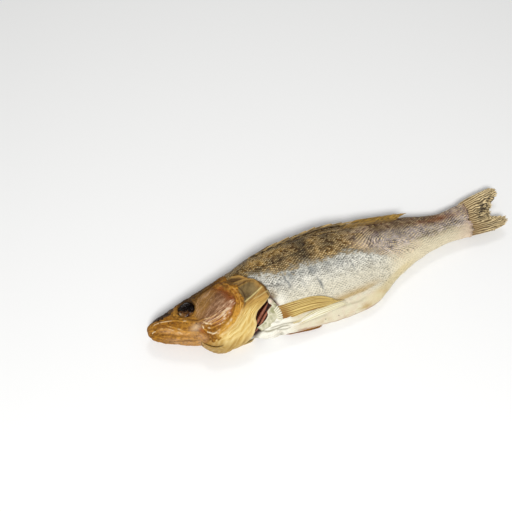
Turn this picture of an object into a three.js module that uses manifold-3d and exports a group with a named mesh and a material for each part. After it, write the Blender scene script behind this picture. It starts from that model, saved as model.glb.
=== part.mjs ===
// A whole dried zander (pike-perch), head, fins and all, lying on its right side.
// Millimetres. +X runs from the snout to the tail, +Y from the belly to the back, +Z up out of the
// left flank. The outlines below are measured from the snout tip; the finished group is moved so
// that its origin is the middle of the footprint, on the surface that the fish lies on.
import * as THREE from "three";
import { mergeVertices } from "three/addons/utils/BufferGeometryUtils.js";
import Module from "manifold-3d";

const wasm = await Module();
wasm.setup();

// ---- driving dimensions ----
const standardLength = 340; // snout tip to the root of the tail fin
const noseLength = 16; // the rounded tip of the snout
const flankSquareness = 0.85; // under 1 the flanks are flatter than an ellipse's

// Outlines along the body, as [distance from the snout tip, value].
const backHeight = smoothLine([
  [0, 9], [12, 10], [30, 14], [50, 19], [90, 30], [110, 37], [130, 40.5], [160, 43.5],
  [190, 45.5], [215, 42.5], [255, 35.5], [280, 30.5], [310, 23.5], [standardLength, 27],
]);
const bellyDepth = smoothLine([
  [0, 12], [12, 14.5], [30, 23.5], [50, 31], [70, 36], [110, 42], [160, 46],
  [190, 47], [215, 43], [232, 34], [255, 22.5], [280, 14.5], [310, 10], [standardLength, 11],
]);
const halfThickness = smoothLine([
  [0, 9], [12, 10.5], [30, 12.5], [70, 19], [110, 21.5], [160, 21], [215, 18], [255, 12.5],
  [310, 6], [328, 4.4], [standardLength, 1.8],
]);
const middleHeight = smoothLine([
  [0, 16], [30, 17], [70, 18.5], [110, 20], [160, 19.5], [215, 17.5], [255, 15.5],
  [310, 13], [standardLength, 12],
]);
// The gutted belly has sunk: its edge sags to the table and its wall is hollow and creased.
const bellyEdgeHeight = smoothLine([
  [0, 16], [50, 17], [110, 14], [160, 10], [215, 9], [255, 12], [310, 13], [standardLength, 12],
]);
const bellyThinning = smoothLine([
  [0, 0.05], [90, 0.1], [140, 0.38], [230, 0.38], [260, 0.15], [standardLength, 0],
]);
const bellyCrease = { from: 132, to: 246, angle: 138, width: 11, depth: 2.2 };

const bodyStations = 58;
const bodySides = 32;

const eye = { x: 40.5, y: 4, socketRadius: 8.8, ballRadius: 7.6, sunk: 2.4 };
const cheek = { x: 66, y: -4, halfLength: 27, halfHeight: 22, rise: 1.6 };
const mouth = {
  line: [[0, -1], [4, -6], [12, -13], [26, -20], [44, -25], [54, -27]],
  halfWidth: 1.1,
  depth: 1.9,
};

// The gill cover grows out of the cheek and ends in a free edge. Both lines are given as
// [degrees round the body from the back edge, distance from the snout tip].
const gillCover = {
  from: 60,
  to: 192,
  rows: 15,
  columns: 5,
  thickness: 1.5,
  lift: 3.8, // how far the free edge stands off the shoulder
  throatDrop: 6, // the gill membrane hangs this far below the jaw
  root: smoothLine([[60, 76], [78, 87], [106, 89], [128, 76], [151, 57], [170, 48], [192, 44]]),
  edge: smoothLine([
    [60, 92], [76, 101], [84, 107.5], [101, 115], [110, 111.5], [122, 100.5], [145, 94],
    [164, 85], [180, 74], [192, 66],
  ]),
};
const gillSlit = {
  line: [[116, -15], [112, -20], [107, -26], [100, -31], [92, -34]],
  halfWidth: 6.5,
  depth: 5.5,
};

// The tail fin fans out from a point inside the body; its length is given against the angle of the
// ray in degrees, and falls off at the notch and at the worn outer corners.
const tailFin = {
  fanX: 300,
  fanY: 9,
  halfAngle: 20.5,
  rays: 17,
  length: smoothLine([
    [-20.5, 66], [-16, 73], [-11.5, 79], [-7, 73], [-3, 64], [-1, 68], [3, 74], [7, 82],
    [11, 88], [15, 83], [18, 76], [20.5, 70],
  ]),
};

// ---- helpers: lines, surfaces and solids ----

// A smooth line through a few points: a cubic through each pair, with slopes from its neighbours.
function smoothLine(points) {
  const rise = (p, q) => (q[1] - p[1]) / (q[0] - p[0]);
  const slopes = points.map((point, i) => {
    const before = points[i - 1];
    const after = points[i + 1];
    if (!before) return rise(point, after);
    if (!after) return rise(before, point);
    const near = point[0] - before[0];
    const far = after[0] - point[0];
    return (rise(before, point) * far + rise(point, after) * near) / (near + far);
  });
  return (x) => {
    const at = THREE.MathUtils.clamp(x, points[0][0], points[points.length - 1][0]);
    let i = 0;
    while (i < points.length - 2 && at > points[i + 1][0]) i += 1;
    const step = points[i + 1][0] - points[i][0];
    const t = (at - points[i][0]) / step;
    return (
      (2 * t ** 3 - 3 * t ** 2 + 1) * points[i][1] +
      (t ** 3 - 2 * t ** 2 + t) * step * slopes[i] +
      (3 * t ** 2 - 2 * t ** 3) * points[i + 1][1] +
      (t ** 3 - t ** 2) * step * slopes[i + 1]
    );
  };
}

// How deep the crease of the sunken belly is, on either flank.
function creaseDepth(x, angle) {
  const along = (x - bellyCrease.from) / (bellyCrease.to - bellyCrease.from);
  if (along <= 0 || along >= 1) return 0;
  const degrees = THREE.MathUtils.radToDeg(Math.acos(Math.cos(angle)));
  const across = (degrees - bellyCrease.angle) / bellyCrease.width;
  return bellyCrease.depth * Math.sin(Math.PI * along) ** 0.7 * Math.exp(-(across ** 2));
}

// A point of the skin. The angle runs from 0 at the back edge over the left flank (90 degrees, up)
// to the belly edge (180) and on along the right flank, which the table presses flat.
function skinPoint(x, angle, outward = 0) {
  const nose = x < noseLength ? Math.sqrt(Math.max(0, 1 - (1 - x / noseLength) ** 2)) : 1;
  const across = Math.cos(angle);
  const up = Math.sin(angle);
  const reach = (across > 0 ? backHeight(x) : bellyDepth(x)) * nose;
  const toBelly = Math.max(0, -across);
  const sag = toBelly ** 2 * (3 - 2 * toBelly);
  const middle = middleHeight(x) + (bellyEdgeHeight(x) - middleHeight(x)) * sag;
  const bulge = Math.sign(up) * Math.abs(up) ** flankSquareness * (1 - bellyThinning(x) * toBelly);
  const out = outward - creaseDepth(x, angle);
  const y = across * (reach + out);
  const z = middle + bulge * halfThickness(x) * nose + up * out;
  return new THREE.Vector3(x, y, Math.max(0, z));
}

// A point on or above the left (side 1) or right (side -1) flank at a place in the side view.
function onFlank(x, y, side, above) {
  const reach = y > 0 ? backHeight(x) : bellyDepth(x);
  const angle = Math.acos(THREE.MathUtils.clamp(y / reach, -1, 1));
  const z = skinPoint(x, side * angle).z + side * above;
  return new THREE.Vector3(x, y, Math.max(0, z));
}

function geometryOf(points, faces) {
  const geometry = new THREE.BufferGeometry();
  const coordinates = points.flatMap((point) => point.toArray());
  geometry.setAttribute("position", new THREE.Float32BufferAttribute(coordinates, 3));
  geometry.setIndex(faces);
  return geometry;
}

// A closed solid through rings of equal count, with a fan at each end.
function loft(rings) {
  const sides = rings[0].length;
  const points = rings.flat();
  const faces = [];
  for (let i = 0; i < rings.length - 1; i += 1) {
    for (let j = 0; j < sides; j += 1) {
      const a = i * sides + j;
      const b = i * sides + ((j + 1) % sides);
      faces.push(a, b, b + sides, a, b + sides, a + sides);
    }
  }
  const total = (ring) => ring.reduce((sum, point) => sum.add(point), new THREE.Vector3());
  const middleOf = (ring) => total(ring).divideScalar(sides);
  const first = points.push(middleOf(rings[0])) - 1;
  const last = points.push(middleOf(rings[rings.length - 1])) - 1;
  for (let j = 0; j < sides; j += 1) {
    const next = (j + 1) % sides;
    faces.push(first, next, j);
    faces.push(last, first - sides + j, first - sides + next);
  }
  return solidOf(geometryOf(points, faces));
}

// A closed plate between two grids of points of the same size, joined round their rim.
function plate(upper, lower) {
  const rows = upper.length;
  const columns = upper[0].length;
  const under = rows * columns;
  const faces = [];
  const quad = (a, b, c, d) => faces.push(a, b, c, a, c, d);
  for (let i = 0; i < rows - 1; i += 1) {
    for (let j = 0; j < columns - 1; j += 1) {
      const a = i * columns + j;
      quad(a, a + 1, a + columns + 1, a + columns);
      quad(under + a, under + a + columns, under + a + columns + 1, under + a + 1);
    }
  }
  const wall = (a, b) => quad(a, under + a, under + b, b);
  for (let j = 0; j < columns - 1; j += 1) {
    wall(j, j + 1);
    wall((rows - 1) * columns + j + 1, (rows - 1) * columns + j);
  }
  for (let i = 0; i < rows - 1; i += 1) {
    wall((i + 1) * columns, i * columns);
    wall(i * columns + columns - 1, (i + 1) * columns + columns - 1);
  }
  return solidOf(geometryOf([...upper.flat(), ...lower.flat()], faces));
}

// The solid inside a closed surface, whichever way round its faces were listed.
function solidOf(geometry) {
  geometry.deleteAttribute("normal");
  geometry.deleteAttribute("uv");
  const merged = mergeVertices(geometry, 1e-4);
  const fill = (triVerts) => {
    const vertProperties = merged.attributes.position.array;
    return new wasm.Manifold(new wasm.Mesh({ numProp: 3, vertProperties, triVerts }));
  };
  const corners = new Uint32Array(merged.index.array);
  const solid = fill(corners);
  return solid.volume() > 0 ? solid : fill(corners.reverse());
}

// A flattened ball.
function ball(centre, radius, flatness) {
  const geometry = new THREE.SphereGeometry(radius, 12, 7);
  geometry.scale(1, 1, flatness);
  geometry.translate(...centre.toArray());
  return solidOf(geometry);
}

// A tapering trench or tube along a line of points, elliptical across.
function channel(centres, halfWidth, depth) {
  const last = centres.length - 1;
  return loft(centres.map((centre, i) => {
    const taper = 0.35 + 0.65 * Math.sin((Math.PI * (i + 0.5)) / (last + 1));
    const ring = [];
    for (let k = 0; k < 8; k += 1) {
      const turn = (Math.PI * k) / 4;
      ring.push(new THREE.Vector3(
        centre.x,
        centre.y + taper * halfWidth * Math.cos(turn),
        centre.z + taper * depth * Math.sin(turn),
      ));
    }
    return ring;
  }));
}

// A fin: a plate whose ridged rays run from a base line to a ragged edge, with thinner skin between.
// base(share) and tip(share) give the ends of the ray at that share of the fin's width, and
// bow(share) how far the ray swings out at its middle.
function fin({ rays, steps, base, tip, bow, thick = 1.6, thin = 0.9, notch = 0.06 }) {
  const columns = 2 * rays - 1;
  const upper = [];
  const lower = [];
  for (let i = 0; i < columns; i += 1) {
    const share = i / (columns - 1);
    const isRay = i % 2 === 0;
    const top = [];
    const under = [];
    for (let j = 0; j <= steps; j += 1) {
      const t = (j / steps) * (isRay ? 1 : 1 - notch);
      const half = ((isRay ? thick : thin) * (1 - 0.45 * t)) / 2;
      const point = base(share).lerp(tip(share), t);
      if (bow) point.addScaledVector(bow(share), 4 * t * (1 - t));
      point.z = Math.max(point.z, half);
      top.push(point.clone().setZ(point.z + half));
      under.push(point.clone().setZ(point.z - half));
    }
    upper.push(top);
    lower.push(under);
  }
  return plate(upper, lower);
}

// ---- body and head ----

// The trunk and head in one loft, with the cheeks swollen.
function makeBody() {
  const rings = [];
  for (let i = 0; i <= bodyStations; i += 1) {
    const x = standardLength * (0.0008 + 0.9992 * (i / bodyStations) ** 1.12);
    const ring = [];
    for (let j = 0; j < bodySides; j += 1) {
      const angle = (2 * Math.PI * j) / bodySides;
      const y = skinPoint(x, angle).y;
      const away = Math.hypot((x - cheek.x) / cheek.halfLength, (y - cheek.y) / cheek.halfHeight);
      const swell = away < 1 ? cheek.rise * (1 - away ** 2) ** 2 : 0;
      ring.push(skinPoint(x, angle, swell));
    }
    rings.push(ring);
  }
  return loft(rings);
}

// One gill cover with its hanging membrane: a curved plate whose free edge stands off the shoulder.
function makeGillCover(side) {
  const upper = [];
  const lower = [];
  for (let i = 0; i < gillCover.rows; i += 1) {
    const degrees = gillCover.from + ((gillCover.to - gillCover.from) * i) / (gillCover.rows - 1);
    const angle = side * THREE.MathUtils.degToRad(degrees);
    const throat = THREE.MathUtils.smoothstep(degrees, 150, 185) * gillCover.throatDrop;
    const root = gillCover.root(degrees);
    const width = gillCover.edge(degrees) - root;
    const top = [];
    const under = [];
    for (let j = 0; j <= gillCover.columns; j += 1) {
      const share = j / gillCover.columns;
      // The table presses the right cover close to the head.
      const lift = gillCover.lift * share ** 1.5 * (side > 0 ? 1 : 0.35);
      const standOff = lift + throat * Math.sin(Math.PI * share);
      const inner = skinPoint(root + width * share, angle, standOff - gillCover.thickness);
      inner.z = Math.max(inner.z, gillCover.thickness);
      top.push(skinPoint(root + width * share, angle, standOff + 0.3));
      under.push(inner);
    }
    upper.push(top);
    lower.push(under);
  }
  return plate(upper, lower);
}

const alongFlank = (line, side) => line.map(([x, y]) => onFlank(x, y, side, 0));

// The gape under the free edge of the gill cover.
function makeGillSlit(side) {
  return channel(alongFlank(gillSlit.line, side), gillSlit.halfWidth, gillSlit.depth);
}

// The line of the closed lips.
function makeMouthGroove(side) {
  return channel(alongFlank(mouth.line, side), mouth.halfWidth, mouth.depth);
}

function makeEyeSocket(side) {
  return ball(onFlank(eye.x, eye.y, side, 0.45 * eye.socketRadius), eye.socketRadius, 0.8);
}

// The shrunken eye, which stays inside its socket even on the side that is lain on.
function makeEyeball(side) {
  const centre = onFlank(eye.x, eye.y, side, -eye.sunk);
  centre.z = Math.max(centre.z, 0.62 * eye.ballRadius);
  return ball(centre, eye.ballRadius, 0.6);
}

// ---- fins ----

function makeTailFin() {
  const root = standardLength - 5;
  const angleOf = (share) => THREE.MathUtils.degToRad(tailFin.halfAngle * (1 - 2 * share));
  return fin({
    rays: tailFin.rays,
    steps: 4,
    thick: 2,
    thin: 1.1,
    base: (share) => {
      const spread = 1.4 * Math.tan(angleOf(share)) * (root - tailFin.fanX);
      return new THREE.Vector3(root, tailFin.fanY + spread, middleHeight(root));
    },
    tip: (share) => {
      const frayed = tailFin.length(tailFin.halfAngle * (1 - 2 * share)) + 1.3 * Math.sin(77 * share);
      const x = tailFin.fanX + frayed * Math.cos(angleOf(share));
      const y = tailFin.fanY + frayed * Math.sin(angleOf(share));
      return new THREE.Vector3(x, y, 12 + 3 * Math.sin(9 * share));
    },
  });
}

// The first dorsal fin, its spines folded back into a low strip along the back.
function makeSpinyDorsalFin() {
  return fin({
    rays: 13,
    steps: 3,
    notch: 0.35,
    base: (share) => {
      const x = 116 + 88 * share;
      return new THREE.Vector3(x, backHeight(x) - 2.5, middleHeight(x) + 2);
    },
    tip: (share) => {
      const x = 136 + 88 * share;
      const height = 1.6 + 0.7 * Math.sin(40 * share);
      return new THREE.Vector3(x, backHeight(x) + height, middleHeight(x) + 6);
    },
  });
}

// The second dorsal fin, soft-rayed, folded back and highest at its rear end.
function makeSoftDorsalFin() {
  return fin({
    rays: 13,
    steps: 4,
    notch: 0.12,
    base: (share) => {
      const x = 212 + 58 * share;
      return new THREE.Vector3(x, backHeight(x) - 3, middleHeight(x) + 2);
    },
    tip: (share) => {
      const x = 230 + 55 * share;
      const height = 3 + 4.5 * share + Math.sin(50 * share);
      return new THREE.Vector3(x, backHeight(x) + height, middleHeight(x) + 5);
    },
  });
}

// A pectoral fin, closed like a brush and dried on to the flank.
function makePectoralFin(side) {
  return fin({
    rays: 8,
    steps: 5,
    base: (share) => onFlank(119, -22 - 13 * share, side, 0.2),
    tip: (share) => onFlank(174 - 30 * share ** 1.6, -29.5 - 5.5 * share, side, 0.9),
    bow: (share) => new THREE.Vector3(0, 3.5 - 2.5 * share, side * 1.6),
  });
}

// The left pelvic fin, dried on to the belly.
function makeLeftPelvicFin() {
  return fin({
    rays: 5,
    steps: 4,
    base: (share) => onFlank(130, -38 - 3 * share, 1, 0.1),
    tip: (share) => onFlank(194 - 18 * share, -34 - 2.5 * share, 1, 0.7),
    bow: () => new THREE.Vector3(0, 0, 1.4),
  });
}

// The right pelvic fin, caught under the belly edge with its tips in sight.
function makeRightPelvicFin() {
  return fin({
    rays: 5,
    steps: 4,
    base: (share) => new THREE.Vector3(124, -35 - 7 * share, 6),
    tip: (share) => new THREE.Vector3(172 - 8 * share, -41 - 6 * share, 4),
  });
}

// The anal fin, folded back and tucked under the belly edge.
function makeAnalFin() {
  return fin({
    rays: 9,
    steps: 3,
    base: (share) => {
      const x = 222 + 44 * share;
      return new THREE.Vector3(x, 2.5 - bellyDepth(x), bellyEdgeHeight(x) - 1);
    },
    tip: (share) => {
      const x = 240 + 44 * share;
      return new THREE.Vector3(x, 1 - bellyDepth(x), bellyEdgeHeight(x) - 6);
    },
  });
}

// ---- the whole fish as one solid ----
function makeZander() {
  let fish = makeBody();
  for (const side of [1, -1]) {
    fish = fish.subtract(makeGillSlit(side));
    fish = fish.add(makeGillCover(side));
    fish = fish.subtract(makeMouthGroove(side));
    fish = fish.subtract(makeEyeSocket(side));
    fish = fish.add(makeEyeball(side));
    fish = fish.add(makePectoralFin(side));
  }
  const middleFins = [makeTailFin(), makeSpinyDorsalFin(), makeSoftDorsalFin(), makeAnalFin()];
  for (const grown of [...middleFins, makeLeftPelvicFin(), makeRightPelvicFin()]) {
    fish = fish.add(grown);
  }
  const mesh = fish.getMesh();
  const geometry = new THREE.BufferGeometry();
  geometry.setAttribute("position", new THREE.BufferAttribute(Float32Array.from(mesh.vertProperties), 3));
  geometry.setIndex(new THREE.BufferAttribute(Uint32Array.from(mesh.triVerts), 1));
  geometry.computeBoundingBox();
  const { min, max } = geometry.boundingBox;
  geometry.translate(-(min.x + max.x) / 2, -(min.y + max.y) / 2, -min.z);
  return geometry;
}

const driedSkin = new THREE.MeshStandardMaterial({ color: 0xb89a63, roughness: 0.55, metalness: 0 });
const zander = new THREE.Mesh(makeZander(), driedSkin);
zander.name = "zander";

const group = new THREE.Group();
group.add(zander);
export default group;
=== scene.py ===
import math
import bpy
import numpy as np
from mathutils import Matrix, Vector


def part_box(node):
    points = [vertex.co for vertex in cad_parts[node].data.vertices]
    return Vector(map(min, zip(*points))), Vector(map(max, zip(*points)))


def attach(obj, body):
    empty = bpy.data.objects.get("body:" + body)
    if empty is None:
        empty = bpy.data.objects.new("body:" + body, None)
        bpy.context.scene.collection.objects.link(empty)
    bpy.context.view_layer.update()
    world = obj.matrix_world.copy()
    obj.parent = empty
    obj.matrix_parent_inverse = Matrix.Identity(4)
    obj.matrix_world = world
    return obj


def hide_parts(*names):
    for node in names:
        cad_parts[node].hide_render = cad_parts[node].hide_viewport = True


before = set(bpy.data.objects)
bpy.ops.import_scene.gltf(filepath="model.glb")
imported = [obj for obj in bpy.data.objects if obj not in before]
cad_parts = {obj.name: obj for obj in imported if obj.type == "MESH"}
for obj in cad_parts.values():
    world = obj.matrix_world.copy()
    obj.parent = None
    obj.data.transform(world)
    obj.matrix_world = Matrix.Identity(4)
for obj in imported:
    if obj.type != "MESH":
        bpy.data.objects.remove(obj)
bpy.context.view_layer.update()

print("frame loaded")

# the fish's own frame
# All shapes are worked out in millimetres from the snout tip: x runs to the tail, y from the
# body's middle line to the back, z up from the table out of the left flank.
fishLow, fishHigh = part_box("zander")
fish = {
    "snoutX": fishLow.x * 1000 - 0.27,  # where the snout tip lies along the frame's X
    "middleY": fishLow.y * 1000 + 47.2,  # where the middle line lies; the belly reaches 47.2 below it
    "noseLength": 16.0,  # the rounded tip of the snout
    "squareness": 0.85,  # under 1 makes the flanks flatter than an ellipse
}


def smoothLine(points):
    # a cubic through each pair of points, its end slopes weighted from the neighbouring pairs
    xs, ys = np.array(points, float).T
    gap = np.diff(xs)
    rise = np.diff(ys) / gap
    inner = (rise[:-1] * gap[1:] + rise[1:] * gap[:-1]) / (gap[1:] + gap[:-1])
    slope = np.concatenate(([rise[0]], inner, [rise[-1]]))

    def valueAt(x):
        # the cubic between the points on either side of x, whose share of the gap is t
        at = np.clip(x, xs[0], xs[-1])
        i = np.clip(np.searchsorted(xs, at, side="right") - 1, 0, len(xs) - 2)
        t = (at - xs[i]) / gap[i]
        return ((2 * t**3 - 3 * t**2 + 1) * ys[i] + (t**3 - 2 * t**2 + t) * gap[i] * slope[i]
                + (3 * t**2 - 2 * t**3) * ys[i + 1] + (t**3 - t**2) * gap[i] * slope[i + 1])

    return valueAt


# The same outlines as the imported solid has, as (distance from the snout tip, value).
backHeight = smoothLine([(0, 9), (12, 10), (30, 14), (50, 19), (90, 30), (110, 37), (130, 40.5), (160, 43.5),
                         (190, 45.5), (215, 42.5), (255, 35.5), (280, 30.5), (310, 23.5), (340, 27)])
bellyDepth = smoothLine([(0, 12), (12, 14.5), (30, 23.5), (50, 31), (70, 36), (110, 42), (160, 46), (190, 47),
                         (215, 43), (232, 34), (255, 22.5), (280, 14.5), (310, 10), (340, 11)])
halfThickness = smoothLine([(0, 9), (12, 10.5), (30, 12.5), (70, 19), (110, 21.5), (160, 21), (215, 18),
                            (255, 12.5), (310, 6), (328, 4.4), (340, 1.8)])
middleHeight = smoothLine([(0, 16), (30, 17), (70, 18.5), (110, 20), (160, 19.5), (215, 17.5), (255, 15.5),
                           (310, 13), (340, 12)])
bellyEdgeHeight = smoothLine([(0, 16), (50, 17), (110, 14), (160, 10), (215, 9), (255, 12), (310, 13),
                              (340, 12)])
bellyThinning = smoothLine([(0, 0.05), (90, 0.1), (140, 0.38), (230, 0.38), (260, 0.15), (340, 0)])
bellyCrease = {"from": 132, "to": 246, "angle": 138, "width": 11, "depth": 2.2}


def clamp(value):
    # kept between 0 and 1
    return np.clip(value, 0, 1)


def ramp(value, low, high):
    # 0 below low, 1 above high, an S-curve between
    t = clamp((value - low) / (high - low))
    return t * t * (3 - 2 * t)


def bell(distance, width):
    # a soft hump, 1 at no distance and about a third at one width
    return np.exp(-((distance / width) ** 2))


def skinPoint(x, turn, outward=0.0):
    # cosine of the turn times the back or belly reach gives y; the signed sine to the power of the
    # squareness times half the thickness, on a middle line that sags to the belly edge, gives z;
    # nothing sinks below the table
    x, turn = np.broadcast_arrays(np.asarray(x, float), np.asarray(turn, float))
    toNose = 1 - x / fish["noseLength"]
    nose = np.where(toNose > 0, np.sqrt(clamp(1 - toNose**2)), 1.0)
    across, up = np.cos(turn), np.sin(turn)
    reach = np.where(across > 0, backHeight(x), bellyDepth(x)) * nose
    toBelly = clamp(-across)
    sag = toBelly**2 * (3 - 2 * toBelly)
    middle = middleHeight(x) + (bellyEdgeHeight(x) - middleHeight(x)) * sag
    bulge = np.sign(up) * np.abs(up) ** fish["squareness"] * (1 - bellyThinning(x) * toBelly)
    along = clamp((x - bellyCrease["from"]) / (bellyCrease["to"] - bellyCrease["from"]))
    fromCrease = np.degrees(np.arccos(np.clip(across, -1, 1))) - bellyCrease["angle"]
    crease = bellyCrease["depth"] * np.sin(np.pi * along) ** 0.7 * bell(fromCrease, bellyCrease["width"])
    out = outward - crease
    y = across * (reach + out)
    z = middle + bulge * halfThickness(x) * nose + up * out
    return np.stack([x, y, np.maximum(z, 0)], -1)


def onFlank(x, y, side, above=0.0):
    # the skin at a place in the side view, found from the turn whose cosine is y over the reach
    reach = np.where(y > 0, backHeight(x), bellyDepth(x))
    turn = np.arccos(np.clip(y / reach, -1, 1))
    z = skinPoint(x, side * turn)[..., 2] + side * above
    return np.stack(np.broadcast_arrays(x, y, np.maximum(z, 0)), -1)


def toFrame(points):
    # millimetres from the snout tip into the frame's metres
    return (points + np.array([fish["snoutX"], fish["middleY"], 0.0])) / 1000


# patterns worked out as arrays
def patches(a, b, seed):
    # random values on a square lattice, blended smoothly between the lattice points
    table = np.random.default_rng(seed).random((64, 64))
    ia, ib = np.floor(a).astype(int), np.floor(b).astype(int)
    fa, fb = a - ia, b - ib
    fa, fb = fa * fa * (3 - 2 * fa), fb * fb * (3 - 2 * fb)
    low = table[ia % 64, ib % 64] * (1 - fa) + table[(ia + 1) % 64, ib % 64] * fa
    high = table[ia % 64, (ib + 1) % 64] * (1 - fa) + table[(ia + 1) % 64, (ib + 1) % 64] * fa
    return low * (1 - fb) + high * fb


def clouds(a, b, seed, layers=3):
    # patches at one scale plus half as much at each finer scale, brought back to 0 to 1
    total = sum(patches(a * 2**k, b * 2**k, seed + k) / 2**k for k in range(layers))
    return total / (2 - 2 ** (1 - layers))


def wrinkles(a, b, seed, bend=0.6):
    # thin crests where a cloud crosses its middle value, with the lattice itself bent by a slower cloud
    sway = bend * (clouds(a * 0.6 + 7, b * 0.35 + 3, seed + 50, 2) - 0.5) * 2
    first = 1 - np.abs(2 * patches(a, b + sway, seed) - 1)
    second = 1 - np.abs(2 * patches(a * 1.9, b * 2.1 + sway, seed + 9) - 1)
    return 0.65 * first**2 + 0.35 * second**2


def unrolled(x, degrees):
    # distance round the skin from the side line: the reach to the edge times the angle, so patterns
    # that follow it don't smear over the back and belly edges
    reach = np.where(degrees < 90, backHeight(x), bellyDepth(x))
    return reach * np.radians(90 - degrees)


def nearLine(x, y, line):
    # distance to the nearest stretch of a line of points, the share of the line passed there, and
    # the side: positive to the left of the way along it
    line = np.array(line, float)
    steps = np.diff(line, axis=0)
    lengths = np.hypot(*steps.T)
    passed = np.concatenate(([0], np.cumsum(lengths)))
    best, share, side = np.full(np.shape(x), 1e9), np.zeros(np.shape(x)), np.ones(np.shape(x))
    for start, step, length, before in zip(line, steps, lengths, passed):
        t = clamp(((x - start[0]) * step[0] + (y - start[1]) * step[1]) / length**2)
        dx, dy = x - start[0] - t * step[0], y - start[1] - t * step[1]
        away = np.hypot(dx, dy)
        closer = away < best
        best = np.where(closer, away, best)
        share = np.where(closer, (before + t * length) / passed[-1], share)
        side = np.where(closer, np.sign(step[0] * dy - step[1] * dx), side)
    return best, share, side


def foldLines(x, y, lines):
    # the height and the tint of a set of folds: bells across each line, fading towards its ends
    height, tint = np.zeros(np.shape(x)), np.zeros(np.shape(x))
    for line, width, rise, strength in lines:
        away, share, _ = nearLine(x, y, line)
        shape = bell(away, width) * ramp(share, -0.02, 0.12) * (1 - ramp(share, 0.86, 1.02))
        height = np.maximum(height, rise * shape)
        tint = np.maximum(tint, strength * shape)
    return height, tint


# meshes from grids
def normalsOf(grid, wraps):
    # cross product of the steps along the two directions of the grid
    along = np.gradient(grid, axis=0)
    if wraps:
        around = (np.roll(grid, -1, 1) - np.roll(grid, 1, 1)) / 2
    else:
        around = np.gradient(grid, axis=1)
    normal = np.cross(around, along)
    return normal / np.maximum(np.linalg.norm(normal, axis=-1, keepdims=True), 1e-9)


def buildMesh(name, points, faces, material, values, cornerUv=None):
    # points in millimetres, quads as rows of four corners; a triangle repeats its first or last
    # corner; the volume is the sum of every triangle's triple product
    first, second, third, fourth = np.moveaxis(points[faces], 1, 0)
    volume = np.sum(first * np.cross(second, third)) + np.sum(first * np.cross(third, fourth))
    if volume < 0:  # turned inside out, so every face is listed the other way round
        faces = faces[:, ::-1]
        cornerUv = None if cornerUv is None else cornerUv[:, ::-1]
    keep = np.ones(faces.shape, bool)
    keep[faces[:, 2] == faces[:, 3], 3] = False
    keep[faces[:, 0] == faces[:, 1], 1] = False
    counts = keep.sum(1)
    points[:, 2] = np.minimum(points[:, 2], fishHigh.z * 1000)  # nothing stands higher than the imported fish
    mesh = bpy.data.meshes.new(name)
    mesh.vertices.add(len(points))
    mesh.vertices.foreach_set("co", toFrame(points).astype(np.float32).ravel())
    mesh.loops.add(int(counts.sum()))
    mesh.loops.foreach_set("vertex_index", faces[keep].astype(np.int32))
    mesh.polygons.add(len(faces))
    mesh.polygons.foreach_set("loop_start", (np.cumsum(counts) - counts).astype(np.int32))
    mesh.polygons.foreach_set("loop_total", counts.astype(np.int32))
    mesh.polygons.foreach_set("use_smooth", np.ones(len(faces), bool))
    mesh.update(calc_edges=True)
    if cornerUv is not None:
        layer = mesh.uv_layers.new(name="skinMap")
        layer.data.foreach_set("uv", cornerUv[keep].astype(np.float32).ravel())
    for key, value in values.items():
        attribute = mesh.attributes.new(key, "FLOAT", "POINT")
        attribute.data.foreach_set("value", value.astype(np.float32).ravel())
    mesh.materials.append(material)
    piece = bpy.data.objects.new(name, mesh)
    bpy.context.scene.collection.objects.link(piece)
    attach(piece, "root")
    print(name, "made with", int(np.sum(counts - 2)), "triangles")
    return piece


def gridFaces(rows, columns, wraps=False, start=0):
    # the four corners of every cell, the last column joined to the first where the grid wraps
    i, j = np.meshgrid(np.arange(rows - 1), np.arange(columns if wraps else columns - 1), indexing="ij")
    k = (j + 1) % columns
    near, far = start + i * columns, start + (i + 1) * columns  # where the cell's two rows begin
    return np.stack([near + j, far + j, far + k, near + k], -1).reshape(-1, 4)


def makeTube(name, rings, material, values, uv=None):
    # rings of points joined into a skin, with a fan to a middle point at each end
    rows, columns = rings.shape[:2]
    points = np.vstack([rings.reshape(-1, 3), rings[0].mean(0), rings[-1].mean(0)])
    first, last = rows * columns, rows * columns + 1
    j = np.arange(columns)
    k = (j + 1) % columns
    tail = (rows - 1) * columns
    caps = np.vstack([np.stack([k, j, first + 0 * j, first + 0 * j], -1),
                      np.stack([tail + j, tail + k, last + 0 * j, last + 0 * j], -1)])
    faces = np.vstack([gridFaces(rows, columns, True), caps])
    grown = {}
    for key, value in values.items():  # a middle point has the mean of its ring
        grown[key] = np.concatenate([value.ravel(), [value[0].mean(), value[-1].mean()]])
    cornerUv = None
    if uv is not None:
        cornerUv = np.vstack([uv, np.repeat(uv[:columns, :1], 4, 1), np.repeat(uv[-columns:, :1], 4, 1)])
    return buildMesh(name, points, faces, material, grown, cornerUv)


def makeShell(name, outer, inner, material, values):
    # two sheets of the same grid joined round their rim; the values are spread over both
    rows, columns = outer.shape[:2]
    count = rows * columns
    top = gridFaces(rows, columns)
    under = gridFaces(rows, columns, start=count)[:, ::-1]
    j = np.arange(columns - 1)
    row = np.arange(rows - 1) * columns  # where each row begins
    last = (rows - 1) * columns
    near, far = row + columns - 1, row + 2 * columns - 1  # where each row and the next one end
    walls = [np.stack([j, j + 1, count + j + 1, count + j], -1),
             np.stack([last + j + 1, last + j, count + last + j, count + last + j + 1], -1),
             np.stack([row + columns, row, count + row, count + row + columns], -1),
             np.stack([near, far, count + far, count + near], -1)]
    faces = np.vstack([top, under] + walls)
    points = np.vstack([outer.reshape(-1, 3), inner.reshape(-1, 3)])
    both = {key: np.tile(np.broadcast_to(value, outer.shape[:2]).ravel(), 2) for key, value in values.items()}
    buildMesh(name, points, faces, material, both)


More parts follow.
